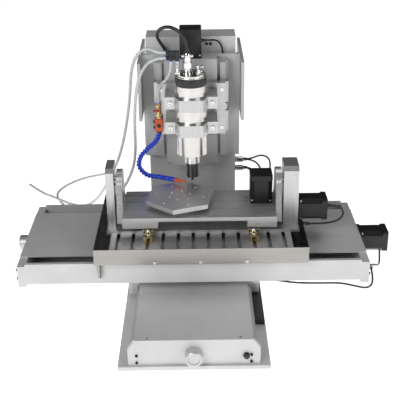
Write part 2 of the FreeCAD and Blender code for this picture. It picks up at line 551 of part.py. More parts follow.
keep(pulley((a_pulley_x, "pivot_y", "pivot_z"), "x", "a_pulley_big", "pivot_dia / 2"), "pivot_shafts")
keep(pulley((a_pulley_x, "pivot_y", "a_motor_z"), "x", "pulley_small", "4"), "a_motor_pulley")
keep(rod((a_pulley_x, "pivot_y", "a_motor_z"), "4", "right_thick - drive_wall + 1", "x"), "a_motor_pulley")
belt("a_belt", ("pivot_y", "pivot_z"), ("pivot_y", "a_motor_z"), "a_pulley_big", "pulley_small", f"{a_pulley_x} + 1", "x")

# ---------------------------------------------------------------- cradle, tilting
keep(rod(("table_x + arm_left", "pivot_y", "pivot_z"), "pivot_dia / 2", "arm_left - left_inner + left_thick - 2", "-x"),
     "pivot_shafts")
keep(rod(("table_x + arm_right", "pivot_y", "pivot_z"), "pivot_dia / 2",
         "right_inner + drive_wall + 3 + pulley_thick - arm_right", "x"), "pivot_shafts")
for start in ("arm_left", "arm_right - arm_thick"):
    foot = plate("arm", "YZ_Plane", [("-arm_foot", "deck_low - pivot_z"), ("arm_foot", "deck_low - pivot_z"),
                                     ("arm_top", "0"), ("-arm_top", "0")], "arm_thick",
                 (f"table_x + {start}", "pivot_y", "pivot_z"))
    head = rod((f"table_x + {start}", "pivot_y", "pivot_z"), "arm_top", "arm_thick", "x")
    keep(fuse(foot, head), "cradle_arms")
deck_left, deck_right = "arm_left + arm_thick", "arm_right - arm_thick"
grooves = []
for i in (3, 2, 1, 0):
    line = f"10.5 + {i} * 43"
    grooves += [(f"{line} + groove_wide / 2", "deck_thick"), (f"{line} + groove_wide / 2", "deck_thick - groove_deep"),
                (f"{line} - groove_wide / 2", "deck_thick - groove_deep"), (f"{line} - groove_wide / 2", "deck_thick")]
profile = [("0", "0"), ("cradle_deep", "0"), ("cradle_deep", "deck_thick")] + grooves + [("0", "deck_thick")]
body = plate("cradle_deck", "YZ_Plane", profile, f"{deck_right} - ({deck_left})",
             (f"table_x + {deck_left}", "cradle_front", "deck_top - deck_thick"))
holes = [(f"hex_x - table_x - ({deck_left})", "hex_y - (cradle_front)", "c_shaft_dia / 2 + shaft_fit"),
         (f"c_motor_x - table_x - ({deck_left})", "c_motor_y - (cradle_front)", "6")]
pocket(body, draw(body, "XY_Plane", (), holes), "deck_thick", True)
keep(body, "cradle_deck")
for side, low, high in ((-1, deck_left, f"{deck_left} + end_left_long"),
                        (1, f"{deck_right} - end_right_long", deck_right)):
    zone = box((f"table_x + {low}", f"table_x + {high}"), ("cradle_front", "pivot_y + end_back"),
               ("deck_low", "deck_top - deck_thick"))
    if side > 0:
        zone = cut(zone, box((f"table_x + {low} - 1", "c_motor_x + 18"), ("c_motor_y - 28", "pivot_y + end_back + 1"),
                             ("deck_low - 1", "deck_top - deck_thick + 1")))
    keep(zone, "cradle_deck")
keep(stepper(("c_motor_x", "c_motor_y", "deck_top"), "z"), "c_motor")
c_pulley_z = "deck_top - deck_thick - pulley_thick - 1"
keep(rod(("c_motor_x", "c_motor_y", c_pulley_z), "4", "pulley_thick + deck_thick + 5"), "c_motor_pulley")
keep(pulley(("c_motor_x", "c_motor_y", c_pulley_z), "z", "pulley_small", "4"), "c_motor_pulley")
keep(pulley(("hex_x", "hex_y", c_pulley_z), "z", "pulley_big", "c_shaft_dia / 2"), "c_hub")
belt("c_belt", ("hex_x", "hex_y"), ("c_motor_x", "c_motor_y"), "pulley_big", "pulley_small", f"{c_pulley_z} + 1", "z")
keep(turned("c_hub", [("0", "0"), ("c_shaft_dia / 2", "0"), ("c_shaft_dia / 2", "deck_top + run_gap - (" + c_pulley_z + ")"),
                      ("hub_dia / 2", "deck_top + run_gap - (" + c_pulley_z + ")"), ("hub_dia / 2", "hex_low - (" + c_pulley_z + ")"),
                      ("0", "hex_low - (" + c_pulley_z + ")")], ("hex_x", "hex_y", c_pulley_z)), "c_hub")
keep(hexagon(("hex_x", "hex_y", "hex_low"), "hex_flats / sqrt(3)", "hex_thick", "z", driving["hex_turn"]), "hex_plate")
spots = []
for ring, count, start in ((28, 6, 0), (62, 6, 30)):
    for i in range(count):
        angle = math.radians(driving["hex_turn"] + start + i * 360 / count)
        spots.append((f"hex_x + {ring * math.cos(angle):.2f}", f"hex_y + {ring * math.sin(angle):.2f}", "hex_low + hex_thick"))
screws("hex_plate", spots, "2.6", "1.4", "z")

# ---------------------------------------------------------------- column
keep(box(("-box_wide / 2", "box_wide / 2"), ("column_front", "base_back"), ("wall_top", "base_top"), "column_box"),
     "column_box")
post = box(("-column_wide / 2", "column_wide / 2"), ("column_front", "column_front + column_deep"),
           ("base_top", "column_top"))
core = box(("-column_wide / 2 + column_wall", "column_wide / 2 - column_wall"),
           ("column_front + column_wall", "column_front + column_deep - column_wall"), ("base_top - 1", "column_top + 1"))
eyes = [rod((x, "column_front - 5", "column_top - 16"), "4.5", "20", "y") for x in ("42", "53")]
keep(cut(post, core, *eyes), "column_box")
keep(box(("-column_wide / 2", "column_wide / 2"), ("column_front", "column_front + column_deep"),
         ("column_top", "column_top + cap_thick")), "column_box")
keep(plate("z_panel", "XZ_Plane", rectangle("-z_panel_wide / 2", "z_panel_wide / 2", "z_panel_low", "z_panel_top"),
           "z_panel_thick", ("0", "z_panel_front", "0"), (), True), "z_panel")
keep(group(*[box((f"{x} - 12", f"{x} + 12"), ("z_panel_front + z_panel_thick", "column_front"),
                 ("z_panel_low + 10", "z_panel_top - 80")) for x in ("-108", "0", "108")]), "frame_blocks")
for xs in (("-z_panel_wide / 2 - cheek_thick", "-z_panel_wide / 2"),
           ("z_panel_wide / 2", "z_panel_wide / 2 + cheek_thick")):
    keep(box(xs, ("cheek_front", "base_back"), ("cheek_low", "cheek_top")), "z_covers")
for xs in (("-z_panel_wide / 2", "-column_wide / 2"), ("column_wide / 2", "z_panel_wide / 2")):
    keep(box(xs, ("column_front + 10", "column_front + 60"), ("cheek_low + 20", "cheek_top - 20")), "frame_blocks")
for sx, axis in ((-1, "-x"), (1, "x")):
    screws("frame_screws", [(f"{sx} * (z_panel_wide / 2 + cheek_thick)", "column_front + 35", z)
                            for z in ("cheek_low + 30", "cheek_top - 30")], "4", "3", axis)
sockets = [turned("socket", [("0", "0"), ("8", "0"), ("8", "4"), ("6.5", "4"), ("6.5", "14"), ("7.5", "14"), ("7.5", "24"),
                             ("4", "26"), ("0", "26")], ("column_wide / 2", y, z), "x")
           for y, z in (("column_front + 28", "278"), ("column_front + 50", "268"),
                        ("column_front + 28", "252"), ("column_front + 50", "242"))]
keep(group(*sockets), "axis_sockets")
bars, rails = [], []
for sx in (-1, 1):
    line = f"{sx} * z_rail_x"
    bars.append(box((f"{line} - z_block_wide / 2", f"{line} + z_block_wide / 2"),
                    ("z_panel_front - z_bar_thick", "z_panel_front"), ("z_panel_low + 16", "z_panel_top - 10")))
    rails.append(box((f"{line} - rail_wide / 2", f"{line} + rail_wide / 2"),
                     ("z_panel_front - z_bar_thick - rail_tall", "z_panel_front - z_bar_thick"),
                     ("z_panel_low + 16", "z_panel_top - 10")))
keep(group(*bars), "frame_blocks")
keep(group(*rails), "frame_rails")
cover_back = "z_cover_front + z_cover_thick"
keep(box(("-z_cover_wide / 2", "z_cover_wide / 2"), ("z_cover_front", cover_back), ("z_cover_low", "z_cover_top"),
         "z_cover"), "z_covers")
screws("frame_screws", [(f"{sx} * (z_cover_wide / 2 - 7)", "z_cover_front", z) for sx in (-1, 1)
                          for z in ("z_cover_low + 8", "z_cover_top - 8")], "3", "1.6", "-y")
hole = "screw_dia / 2 + shaft_fit"
keep(cut(box(("-z_cover_wide / 2", "z_cover_wide / 2"), (cover_back, "z_panel_front"), ("z_motor_low - 8", "z_motor_low")),
         rod(("0", "z_screw_y", "z_motor_low - 20"), hole, "30")), "frame_blocks")
keep(cut(box(("-z_cover_wide / 2", "z_cover_wide / 2"), (cover_back, "z_panel_front"),
             ("z_panel_low + 2", "z_panel_low + 16")),
         rod(("0", "z_screw_y", "z_panel_low - 10"), hole, "40")), "frame_blocks")
keep(rod(("0", "z_screw_y", "z_panel_low + 4"), "screw_dia / 2", "z_motor_low - z_panel_low - 4.5"), "z_screw")
keep(stepper(("0", "z_screw_y", "z_motor_low"), "z"), "frame_motors")

# ---------------------------------------------------------------- z slide and spindle
carriage_mid = "carriage_low + carriage_tall / 2"
blocks = [rail_block(("z", f"{carriage_mid} + {sz} * 40"), ("x", f"{sx} * z_rail_x"), "z_panel_front - z_bar_thick", -1,
                     "z_block_wide") for sx in (-1, 1) for sz in (-1, 1)]
keep(group(*blocks), "z_carriage")
keep(box(("-z_carriage_half", "z_carriage_half"), ("carriage_front", "z_block_front"),
         ("carriage_low", "carriage_low + carriage_tall"), "z_carriage"), "z_carriage")
screws("z_screws", [(f"{sx} * 80", "carriage_front", f"{carriage_mid} + {sz} * 52") for sx, sz in
                    ((-1, 1), (1, -1), (1, 1))], "5", "2", "-y")
span = (f"{carriage_mid} - 8", f"{carriage_mid} + 8")
bar = box(("-95", "95"), (f"{cover_back} + 1", "z_panel_front - z_bar_thick - rail_tall - 1"), span)
arm = box(("-nut_size / 2", "nut_size / 2"), (f"{cover_back} + 1", "z_screw_y"), span)
nut = box(("-nut_size / 2", "nut_size / 2"), ("z_screw_y - nut_size / 2", "z_screw_y + nut_size / 2"),
          (f"{carriage_mid} - 15", f"{carriage_mid} + 15"))
posts = [box((f"{sx} * 83.5 - 11.5", f"{sx} * 83.5 + 11.5"), ("z_block_front", f"{cover_back} + 2"), span) for sx in (-1, 1)]
keep(cut(fuse(bar, arm, nut, *posts), rod(("0", "z_screw_y", "carriage_low"), hole, "carriage_tall")), "z_carriage")
face, ear, wide = "clamp_face / 2", "clamp_ear", "clamp_wide / 2"
lean = "clamp_lean"
cap_shape = [(f"-{wide}", "-clamp_ear"), (f"-{face} - {lean}", "-clamp_ear"), (f"-{face}", "-clamp_reach"),
             (face, "-clamp_reach"), (f"{face} + {lean}", "-clamp_ear"), (wide, "-clamp_ear"),
             (wide, "-clamp_split"), (f"-{wide}", "-clamp_split")]
bolt_spots = []
for i in (0, 1):
    low = f"clamp_low + {i} * clamp_pitch"
    bore = rod(("0", "0", f"{low} - 1"), "spindle_dia / 2", "clamp_tall + 2")
    keep(cut(plate("cap", "XY_Plane", cap_shape, "clamp_tall", ("0", "0", low)), bore), "spindle_clamps")
    bore = rod(("0", "0", f"{low} - 1"), "spindle_dia / 2", "clamp_tall + 2")
    keep(cut(box((f"-{wide}", wide), ("clamp_split", "carriage_front"), (low, f"{low} + clamp_tall")), bore),
         "spindle_clamps")
    bolt_spots += [(x, "-clamp_ear", f"{low} + clamp_tall / 2") for x in ("-clamp_bolt_x", "clamp_bolt_x")]
screws("z_screws", bolt_spots, "5.5", "5", "-y")
keep(cut(fuse(rod(("0", "0", "spindle_low"), "spindle_dia / 2", "spindle_top - spindle_low"),
              rod(("0", "0", "nose_low"), "nose_dia / 2", "spindle_low - nose_low + 1")),
         rod(("0", "0", "nose_low - 1"), "spindle_shaft / 2 + shaft_fit", "21")), "spindle_body")
keep(rod(("0", "0", "spindle_top"), "spindle_dia / 2 - 3", "5"), "spindle_body")
keep(fuse(rod(("0", "0", "collet_low + 12"), "spindle_shaft / 2", "nose_low - collet_low - 12 + 18"),
          rod(("0", "0", "collet_low"), "collet_dia / 2", "collet_top - collet_low")), "collet_nut")
keep(rod(("0", "0", "tool_low"), "tool_dia / 2", "collet_low - tool_low"), "collet_nut")
keep(turned("plug", [("0", "0"), ("13", "0"), ("13", "3"), ("9", "3"), ("9", "12"), ("12", "12"), ("12", "30"), ("9.5", "32"),
                     ("9.5", "50"), ("8", "52"), ("0", "52")], ("-8", "2", "spindle_top + 5")), "water_fittings")


def elbow(spot, heading):
    """A water fitting: a hexagonal foot, an upright neck and a barbed arm."""
    x, y, z = spot
    base = hexagon(spot, "6.5", "5")
    neck = rod(spot, "4", "12")
    step = {"-x": (-1, 0), "y": (0, 1), "x": (1, 0)}[heading]
    arm = rod((x, y, f"{z} + 11"), "3.4", "15", heading)
    barb = rod((f"{x} + {step[0] * 9}", f"{y} + {step[1] * 9}", f"{z} + 11"), "4", "4", heading)
    return fuse(base, neck, arm, barb)


nipple = fuse(hexagon(("-33", "-6", "spindle_top + 5"), "6", "5"), rod(("-33", "-6", "spindle_top + 5"), "4", "14"))
keep(group(nipple, elbow(("18", "16", "spindle_top + 5"), "x")), "water_fittings")
tee_low = "spindle_top + 39"
tee = fuse(box(("-55", "-27"), ("-12", "0"), (f"{tee_low} + 6", f"{tee_low} + 26")),
           rod(("-49", "-6", tee_low), "5.5", "8"), rod(("-33", "-6", tee_low), "5.5", "8"),
           rod(("-61", "-6", f"{tee_low} + 7.5"), "5.5", "8", "x"),
           rod(("-61", "-6", f"{tee_low} + 20.5"), "5.5", "8", "x"))
keep(tee, "water_fittings")
valve_x, valve_y, valve_low = "-z_carriage_half + 4", "carriage_front - 11", "carriage_low + 50"
keep(box((f"{valve_x} - 11", f"{valve_x} + 11"), ("carriage_front - 22", "carriage_front"),
         ("carriage_low + 15", valve_low)), "water_fittings")
handle = box((f"{valve_x} - 14", f"{valve_x} + 5"), (f"{valve_y} - 10.5", f"{valve_y} - 7.5"),
             (f"{valve_low} + 20", f"{valve_low} + 25"))
keep(fuse(rod((valve_x, valve_y, valve_low), "7", "4"), rod((valve_x, valve_y, f"{valve_low} + 3"), "5.5", "38"),
          hexagon((valve_x, valve_y, f"{valve_low} + 6"), "7.5", "7"),
          hexagon((valve_x, valve_y, f"{valve_low} + 30"), "7.5", "7"),
          rod((valve_x, valve_y, f"{valve_low} + 22.5"), "3", "8", "-y"), handle), "water_fittings")


# jointed coolant hose: a chain of ball links, each cut flat at both ends, and a nozzle on the last
bend = [(valve_x, valve_y, "carriage_low + 7"), ("-96", "41", "388"), ("-120", "38", "367"), ("-139", "34", "345"),
        ("-143", "29", "321"), ("-128", "22", "303"), ("-84", "6", "298.5"), ("-49", "-12", "298.5")]
curve = Part.BSplineCurve()
curve.interpolate(Points=[FreeCAD.Vector(*[size(text) for text in corner]) for corner in bend],
                  InitialTangent=FreeCAD.Vector(0, 0, -1), FinalTangent=FreeCAD.Vector(35, -18, 0))
link_count = round(curve.length() / size("link_pitch"))
link_half = (curve.length() / link_count - size("link_gap")) / 2
shift = FreeCAD.Vector(size("shift_x"), size("shift_y"), 0)
upright = FreeCAD.Vector(0, 0, 1)
for spot in curve.discretize(Number=link_count + 1):
    way = curve.tangent(curve.parameter(spot))[0]
    ball = doc.addObject("Part::Sphere", fresh("ball"))
    ball.setExpression("Radius", tie("link_dia / 2"))
    ball.Angle2 = math.degrees(math.asin(link_half / size("link_dia / 2")))
    ball.Angle1 = -ball.Angle2.Value
    ball.Placement = FreeCAD.Placement(spot + shift, FreeCAD.Rotation(upright, way))
    keep(ball, "coolant_hose")
keep(rod((valve_x, valve_y, "carriage_low + 15"), "4", f"8 - {link_half}", "-z"), "coolant_hose")
nozzle = doc.addObject("Part::Cone", fresh("nozzle"))
nozzle.Radius1, nozzle.Radius2, nozzle.Height = 4.8, 2.6, 30
nozzle.Placement = FreeCAD.Placement(spot + way * link_half + shift, FreeCAD.Rotation(upright, way))
keep(nozzle, "coolant_hose")

# ---------------------------------------------------------------- cables and hoses
gland_spots = [("168", "column_front + 31"), ("168", "column_front + 55"), ("152", "column_front + 31"),
               ("152", "column_front + 55")]
for x, y in gland_spots:
    keep(rod((x, y, "floor_top"), "5", "10"), "axis_sockets")
tray_side = "table_x + tray_wide / 2"
keep(rod((tray_side, "pivot_y", "203"), "5", "10", "x"), "drip_tray")
keep(box(("150", "166"), ("-210", "-194"), ("beam_low - 17", "beam_low")), "saddle")


def cord(label, corners, thick):
    """A cable or hose: straight runs joined by tangent arcs, swept with a round section."""
    spots = [FreeCAD.Vector(*[size(text) for text in corner]) for corner in corners]
    spots = [spot + FreeCAD.Vector(size("shift_x"), size("shift_y"), 0) for spot in spots]
    last = spots[0]
    edges, radii = [], []
    for before, here, after in zip(spots, spots[1:], spots[2:]):
        back, on = (before - here), (after - here)
        reach = 0.45 * min(back.Length, on.Length)
        turn = math.pi - back.getAngle(on)
        radii.append(round(reach / math.tan(turn / 2)))
        start, end = here + back.normalize() * reach, here + on.normalize() * reach
        heart = here + (back + on).normalize() * (reach / math.tan(turn / 2) * (1 / math.cos(turn / 2) - 1))
        edges += [Part.LineSegment(last, start).toShape(), Part.Arc(start, heart, end).toShape()]
        last = end
    edges.append(Part.LineSegment(last, spots[-1]).toShape())
    path = Part.Wire(edges)
    ring = Part.Wire(Part.Circle(spots[0], spots[1] - spots[0], size(thick) / 2).toShape())
    solid = path.makePipe(Part.Face(ring))
    whole = path.Length * math.pi * (size(thick) / 2) ** 2
    if abs(solid.Volume / whole - 1) > 0.01:
        raise RuntimeError(f"{label} is not swept whole: {solid.Volume / whole:.3f}")
    print(label, "length", round(path.Length), "bend radii", radii)
    thing = doc.addObject("Part::Feature", fresh(label))
    thing.Shape = solid
    keep(thing, label)


plug_top = "spindle_top + 57"
cord("spindle_cable", [("-8", "2", plug_top), ("-8", "2", "666"), ("-26", "7", "692"), ("-56", "28", "700"),
                       ("-82", "62", "682"), ("-88", "98", "656"), ("-78", "127", "630"), ("-62", "141", "600"),
                       ("-60", "141", "560")], "spindle_cable_dia")
cord("z_motor_cable", [("motor_size / 2", "z_screw_y", "642"), ("48", "z_screw_y", "642"), ("68", "120", "640"),
                       ("81", "135", "624"), ("86", "141", "600"), ("87", "141", "572")], "cable_dia")
cord("water_hose_left", [("-61", "-6", f"{tee_low} + 20.5"), ("-82", "-6", f"{tee_low} + 20.5"), ("-110", "12", "652"),
                         ("-142", "48", "618"), ("-158", "78", "566"), ("-165", "102", "490"), ("-181", "125", "400"),
                         ("-203", "155", "310"), ("-236", "210", "225"), ("-270", "290", "145"), ("-308", "355", "72"),
                         ("-352", "402", "28"), ("-405", "447", "16"), ("-460", "500", "15"), ("-525", "570", "6"),
                         ("-574", "640", "4.5")], "hose_dia")
cord("water_hose_right", [("-61", "-6", f"{tee_low} + 7.5"), ("-84", "-6", f"{tee_low} + 7.5"), ("-110", "4", "612"),
                          ("-131", "12", "578"), ("-144", "14", "520"), ("-150", "26", "440"), ("-153", "62", "360"),
                          ("-164", "112", "285"), ("-196", "158", "205"), ("-250", "215", "118"), ("-305", "290", "42"),
                          ("-360", "367", "7"), ("-415", "440", "4.5"), ("-456", "505", "4.5"), ("-470", "572", "4.5"),
                          ("-434", "648", "4.5"), ("-370", "708", "4.5"), ("-306", "728", "4.5")], "hose_dia")
cord("valve_hose", [("-49", "-6", tee_low), ("-49", "-6", "600"), ("-58", "6", "572"), ("-78", "28", "548"),
                    (valve_x, valve_y, "522"), (valve_x, valve_y, f"{valve_low} + 41")], "hose_dia")
cord("spindle_hose", [("-33", "-6", "spindle_top + 19"), ("-33", "-6", tee_low)], "hose_dia")
socket_end = "column_wide / 2 + 26"
first, second = "column_front + 28", "column_front + 50"
gland_top, near_gland, far_gland = "floor_top + 10", "column_front + 31", "column_front + 55"
cord("socket_cable_top_front", [(socket_end, first, "278"), ("166", first, "278"), ("194", "177", "291"),
                                ("219", "178", "281"), ("224", "178", "250"), ("212", "178", "198"),
                                ("190", "179", "140"), ("170", near_gland, "88"), ("168", near_gland, gland_top)],
     "cable_dia")
cord("socket_cable_top_back", [(socket_end, second, "268"), ("168", second, "268"), ("191", "199", "252"),
                               ("202", "200", "222"), ("198", "200", "172"), ("184", "202", "122"),
                               ("170", far_gland, "78"), ("168", far_gland, gland_top)], "cable_dia")
cord("socket_cable_low_front", [(socket_end, first, "252"), ("164", first, "252"), ("178", "177", "234"),
                                ("182", "178", "200"), ("174", "178", "150"), ("154", near_gland, "88"),
                                ("152", near_gland, gland_top)], "cable_dia")
cord("socket_cable_low_back", [(socket_end, second, "242"), ("161", second, "242"), ("172", "200", "226"),
                               ("175", "200", "190"), ("168", "201", "140"), ("154", far_gland, "84"),
                               ("152", far_gland, gland_top)], "cable_dia")
motor_end = f"table_x + {right_outer} + motor_long"
cord("a_motor_cable", [(motor_end, "pivot_y", "a_motor_z"), ("365", "pivot_y", "a_motor_z"), ("386", "-93", "249"),
                       ("393", "-92", "229"), ("380", "-91", "210"), ("350", "-92", "203"),
                       ("318", "pivot_y", "203"), (f"{tray_side} + 10", "pivot_y", "203")], "cable_dia")
cord("x_motor_cable", [("beam_half + 62", "beam_mid", "beam_axis_z - motor_size / 2"),
                       ("beam_half + 62", "beam_mid", "99"), ("beam_half + 61", "-80", "87"),
                       ("beam_half + 54", "-108", "88"), ("beam_half + 42", "-142", "104"),
                       ("beam_half + 26", "-176", "124"), ("beam_half + clip_out + 1", f"{clip_y} + 12", clip_z),
                       ("beam_half + clip_out - 1", f"{clip_y} - 12", clip_z),
                       ("beam_half + clip_out", f"{clip_y} - 29", "126"), ("beam_half + 8", "-249", "108"),
                       ("beam_half - 4", "-247", "97"), ("beam_half - 28", "-238", "97"),
                       ("beam_half - 66", "-229", "103"), ("316", "-226", "101"), ("258", "-225", "102"),
                       ("212", "-214", "104"), ("184", "-203", "102"), ("166", "-202", "beam_low - 10")], "cable_dia")

finished = {label: things[0] if len(things) == 1 else group(*things) for label, things in pieces.items()}
for label, thing in finished.items():
    thing.Label = label
doc.recompute()
for thing in doc.Objects:
    if any(state in ("Invalid", "Error") for state in thing.State):
        raise RuntimeError(f"{thing.Name} is not sound: {thing.State}")
for label, thing in finished.items():
    if thing.Shape.isNull() or not thing.Shape.isValid():
        raise RuntimeError(f"{label} is not sound")
for label, thing in finished.items():
    thing.Shape.exportStep(f"parts/{label}.step")
print(len(finished), "sub-parts written:", " ".join(sorted(finished)))
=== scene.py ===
import math

import bpy
import numpy as np
from mathutils import Euler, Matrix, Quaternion, Vector


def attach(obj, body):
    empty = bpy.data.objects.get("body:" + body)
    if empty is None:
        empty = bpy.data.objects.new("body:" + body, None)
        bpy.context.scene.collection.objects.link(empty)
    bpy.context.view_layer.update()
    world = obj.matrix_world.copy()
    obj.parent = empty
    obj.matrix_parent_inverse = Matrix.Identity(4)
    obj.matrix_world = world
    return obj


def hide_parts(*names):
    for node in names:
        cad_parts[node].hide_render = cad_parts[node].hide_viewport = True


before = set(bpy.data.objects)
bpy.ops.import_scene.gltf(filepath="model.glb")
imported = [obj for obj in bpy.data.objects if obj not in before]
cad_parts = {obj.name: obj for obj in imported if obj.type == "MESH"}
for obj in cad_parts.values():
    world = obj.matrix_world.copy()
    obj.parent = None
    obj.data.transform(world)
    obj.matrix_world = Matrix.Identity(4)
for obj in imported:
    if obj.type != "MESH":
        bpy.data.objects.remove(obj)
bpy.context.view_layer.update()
shift = np.array([-0.026, 0.089, 0.0])  # the spindle axis stands here in the row's frame
mm = 0.001
print("frame loaded:", len(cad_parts), "nodes")

# camera, light and floor
view = {"place": (-0.007, -2.002, 1.201), "pitch": 65.14, "roll": -0.0145, "lens": 76.8, "sensor": 36,
        "far": 60}
camData = bpy.data.cameras.new("camera")
camData.sensor_width = view["sensor"]
camData.lens = view["lens"]
camData.clip_end = view["far"]
camera = bpy.data.objects.new("camera", camData)
camera.rotation_mode = "QUATERNION"
turn = Euler((math.radians(view["pitch"]), 0, 0)).to_quaternion()
camera.rotation_quaternion = turn @ Quaternion((0, 0, 1), view["roll"])
camera.location = view["place"]
bpy.context.scene.collection.objects.link(camera)
bpy.context.scene.camera = camera

lampTarget = Vector((0, 0, 0.3))
lamps = {  # place, power in watts, size in metres
    "keyLamp": ((-1.6, -2.3, 1.9), 46, 1.6),
    "fillLamp": ((2.3, -1.9, 1.3), 26, 1.8),
    "topLamp": ((0.5, 0.3, 3.0), 14, 1.6),
}
for name, (place, power, wide) in lamps.items():
    light = bpy.data.lights.new(name, "AREA")
    light.energy = power
    light.size = wide
    lamp = bpy.data.objects.new(name, light)
    lamp.location = place
    lamp.rotation_mode = "QUATERNION"
    lamp.rotation_quaternion = (lampTarget - Vector(place)).to_track_quat("-Z", "Y")
    bpy.context.scene.collection.objects.link(lamp)
world = bpy.data.worlds.new("studio")
world.use_nodes = True
# how strongly the backdrop shines, brighter in front than behind
sky = {"brightFrom": (-0.25, -0.9, 0.15), "from": -0.75, "to": 0.85, "dim": 0.78, "bright": 1.3}
skyNodes = world.node_tree
direction = skyNodes.nodes.new("ShaderNodeTexCoord")
facing = skyNodes.nodes.new("ShaderNodeVectorMath")
facing.operation = "DOT_PRODUCT"
facing.inputs[1].default_value = sky["brightFrom"]
spread = skyNodes.nodes.new("ShaderNodeMapRange")
spread.interpolation_type = "SMOOTHSTEP"
for socket, key in (("From Min", "from"), ("From Max", "to"), ("To Min", "dim"), ("To Max", "bright")):
    spread.inputs[socket].default_value = sky[key]
skyNodes.links.new(direction.outputs["Generated"], facing.inputs[0])
skyNodes.links.new(facing.outputs["Value"], spread.inputs["Value"])
skyNodes.links.new(spread.outputs["Result"], skyNodes.nodes["Background"].inputs["Strength"])
bpy.context.scene.world = world
bpy.context.scene.view_settings.view_transform = "Standard"


# finishes: a material with its plain values set on its shader's own sockets
def newFinish(name, colour, rough, metal=0.0, **sockets):
    made = bpy.data.materials.new(name)
    made.use_nodes = True
    shader = made.node_tree.nodes["Principled BSDF"]
    shader.inputs["Base Color"].default_value = (*colour, 1)
    shader.inputs["Roughness"].default_value = rough
    shader.inputs["Metallic"].default_value = metal
    for socket, value in sockets.items():
        shader.inputs[socket.replace("_", " ")].default_value = value
    return made


# a node with its inputs or its own settings filled in by name
def addNode(made, kind, **settings):
    node = made.node_tree.nodes.new(kind)
    for key, value in settings.items():
        if key in node.inputs:
            node.inputs[key].default_value = value
        else:
            setattr(node, key, value)
    return node


def join(made, start, socket, end, into):
    made.node_tree.links.new(start.outputs[socket], end.inputs[into])


# noise on Object coordinates, squeezed by stretch so that it runs in streaks
def noise(made, stretch, detail=3.0):
    where = addNode(made, "ShaderNodeTexCoord")
    shape = addNode(made, "ShaderNodeMapping")
    shape.inputs["Scale"].default_value = stretch
    grain = addNode(made, "ShaderNodeTexNoise", Scale=1.0, Detail=detail, Roughness=0.6)
    join(made, where, "Object", shape, "Vector")
    join(made, shape, "Vector", grain, "Vector")
    return grain


# spreads the noise over low to high and feeds it to one of the shader's sockets
def vary(made, grain, into, low, high, edges=(0.3, 0.7)):
    ramp = addNode(made, "ShaderNodeMapRange")
    for socket, value in zip(("From Min", "From Max", "To Min", "To Max"), (*edges, low, high)):
        ramp.inputs[socket].default_value = value
    join(made, grain, "Fac", ramp, "Value")
    made.node_tree.links.new(ramp.outputs["Result"], made.node_tree.nodes["Principled BSDF"].inputs[into])


# spreads the noise over two colours for the base colour
def tint(made, grain, dark, light, edges=(0.3, 0.7)):
    ramp = addNode(made, "ShaderNodeValToRGB")
    for stop, place, colour in zip(ramp.color_ramp.elements, edges, (dark, light)):
        stop.position = place
        stop.color = (*colour, 1)
    join(made, grain, "Fac", ramp, "Fac")
    join(made, ramp, "Color", made.node_tree.nodes["Principled BSDF"], "Base Color")


# turns the noise into a small relief, its depth in metres
def bumps(made, grain, depth):
    bump = addNode(made, "ShaderNodeBump", Strength=1.0, Distance=depth)
    join(made, grain, "Fac", bump, "Height")
    join(made, bump, "Normal", made.node_tree.nodes["Principled BSDF"], "Normal")


def grey(level, warm=0.0):
    return (level * (1 + warm), level, level * (1 - warm))  # warm adds red and takes blue


# metal with fine streaks along its least squeezed direction
def streaked(name, dark, light, rough, metal, stretch, depth, roughSpread=0.08):
    made = newFinish(name, dark, rough, metal)
    grain = noise(made, stretch)
    tint(made, grain, dark, light)
    vary(made, grain, "Roughness", rough - roughSpread, rough + roughSpread)
    bumps(made, grain, depth)
    return made


paint = {"metal": 0.15, "clouds": (9, 9, 9), "dark": 0.93, "light": 1.05, "smoother": 0.05, "rougher": 0.07,
         "peel": (1500, 1500, 1500), "peelDepth": 0.00002}


# silver-grey powder coat: metal flake under a fine orange peel, clouded a little
def powderCoat(name, level, rough=0.42):
    made = newFinish(name, grey(level), rough, paint["metal"])
    cloud = noise(made, paint["clouds"], 4)
    tint(made, cloud, grey(level * paint["dark"]), grey(level * paint["light"]))
    vary(made, cloud, "Roughness", rough - paint["smoother"], rough + paint["rougher"])
    bumps(made, noise(made, paint["peel"], 1), paint["peelDepth"])
    return made


moulding = {"patches": (60, 60, 60), "shineSpread": 0.08, "smoothest": 0.04, "grain": (2400, 2400, 2400)}


# moulded plastic or rubber: a fine even grain and small patches of shine
def plastic(name, colour, rough, grainDepth=0.00001, **sockets):
    made = newFinish(name, colour, rough, **sockets)
    spreadBy = moulding["shineSpread"]
    smooth = max(rough - spreadBy, moulding["smoothest"])
    vary(made, noise(made, moulding["patches"]), "Roughness", smooth, rough + spreadBy)
    bumps(made, noise(made, moulding["grain"], 1), grainDepth)
    return made


# one colour below a height in metres and another above it
def mixByHeight(made, height, low, high):
    where = addNode(made, "ShaderNodeTexCoord")
    split = addNode(made, "ShaderNodeSeparateXYZ")
    above = addNode(made, "ShaderNodeMath", operation="GREATER_THAN")
    above.inputs[1].default_value = height
    blend = addNode(made, "ShaderNodeMix", data_type="RGBA")
    blend.inputs["A"].default_value = (*low, 1)
    blend.inputs["B"].default_value = (*high, 1)
    join(made, where, "Object", split, "Vector")
    join(made, split, "Z", above, 0)
    join(made, above, "Value", blend, "Factor")
    join(made, blend, "Result", made.node_tree.nodes["Principled BSDF"], "Base Color")


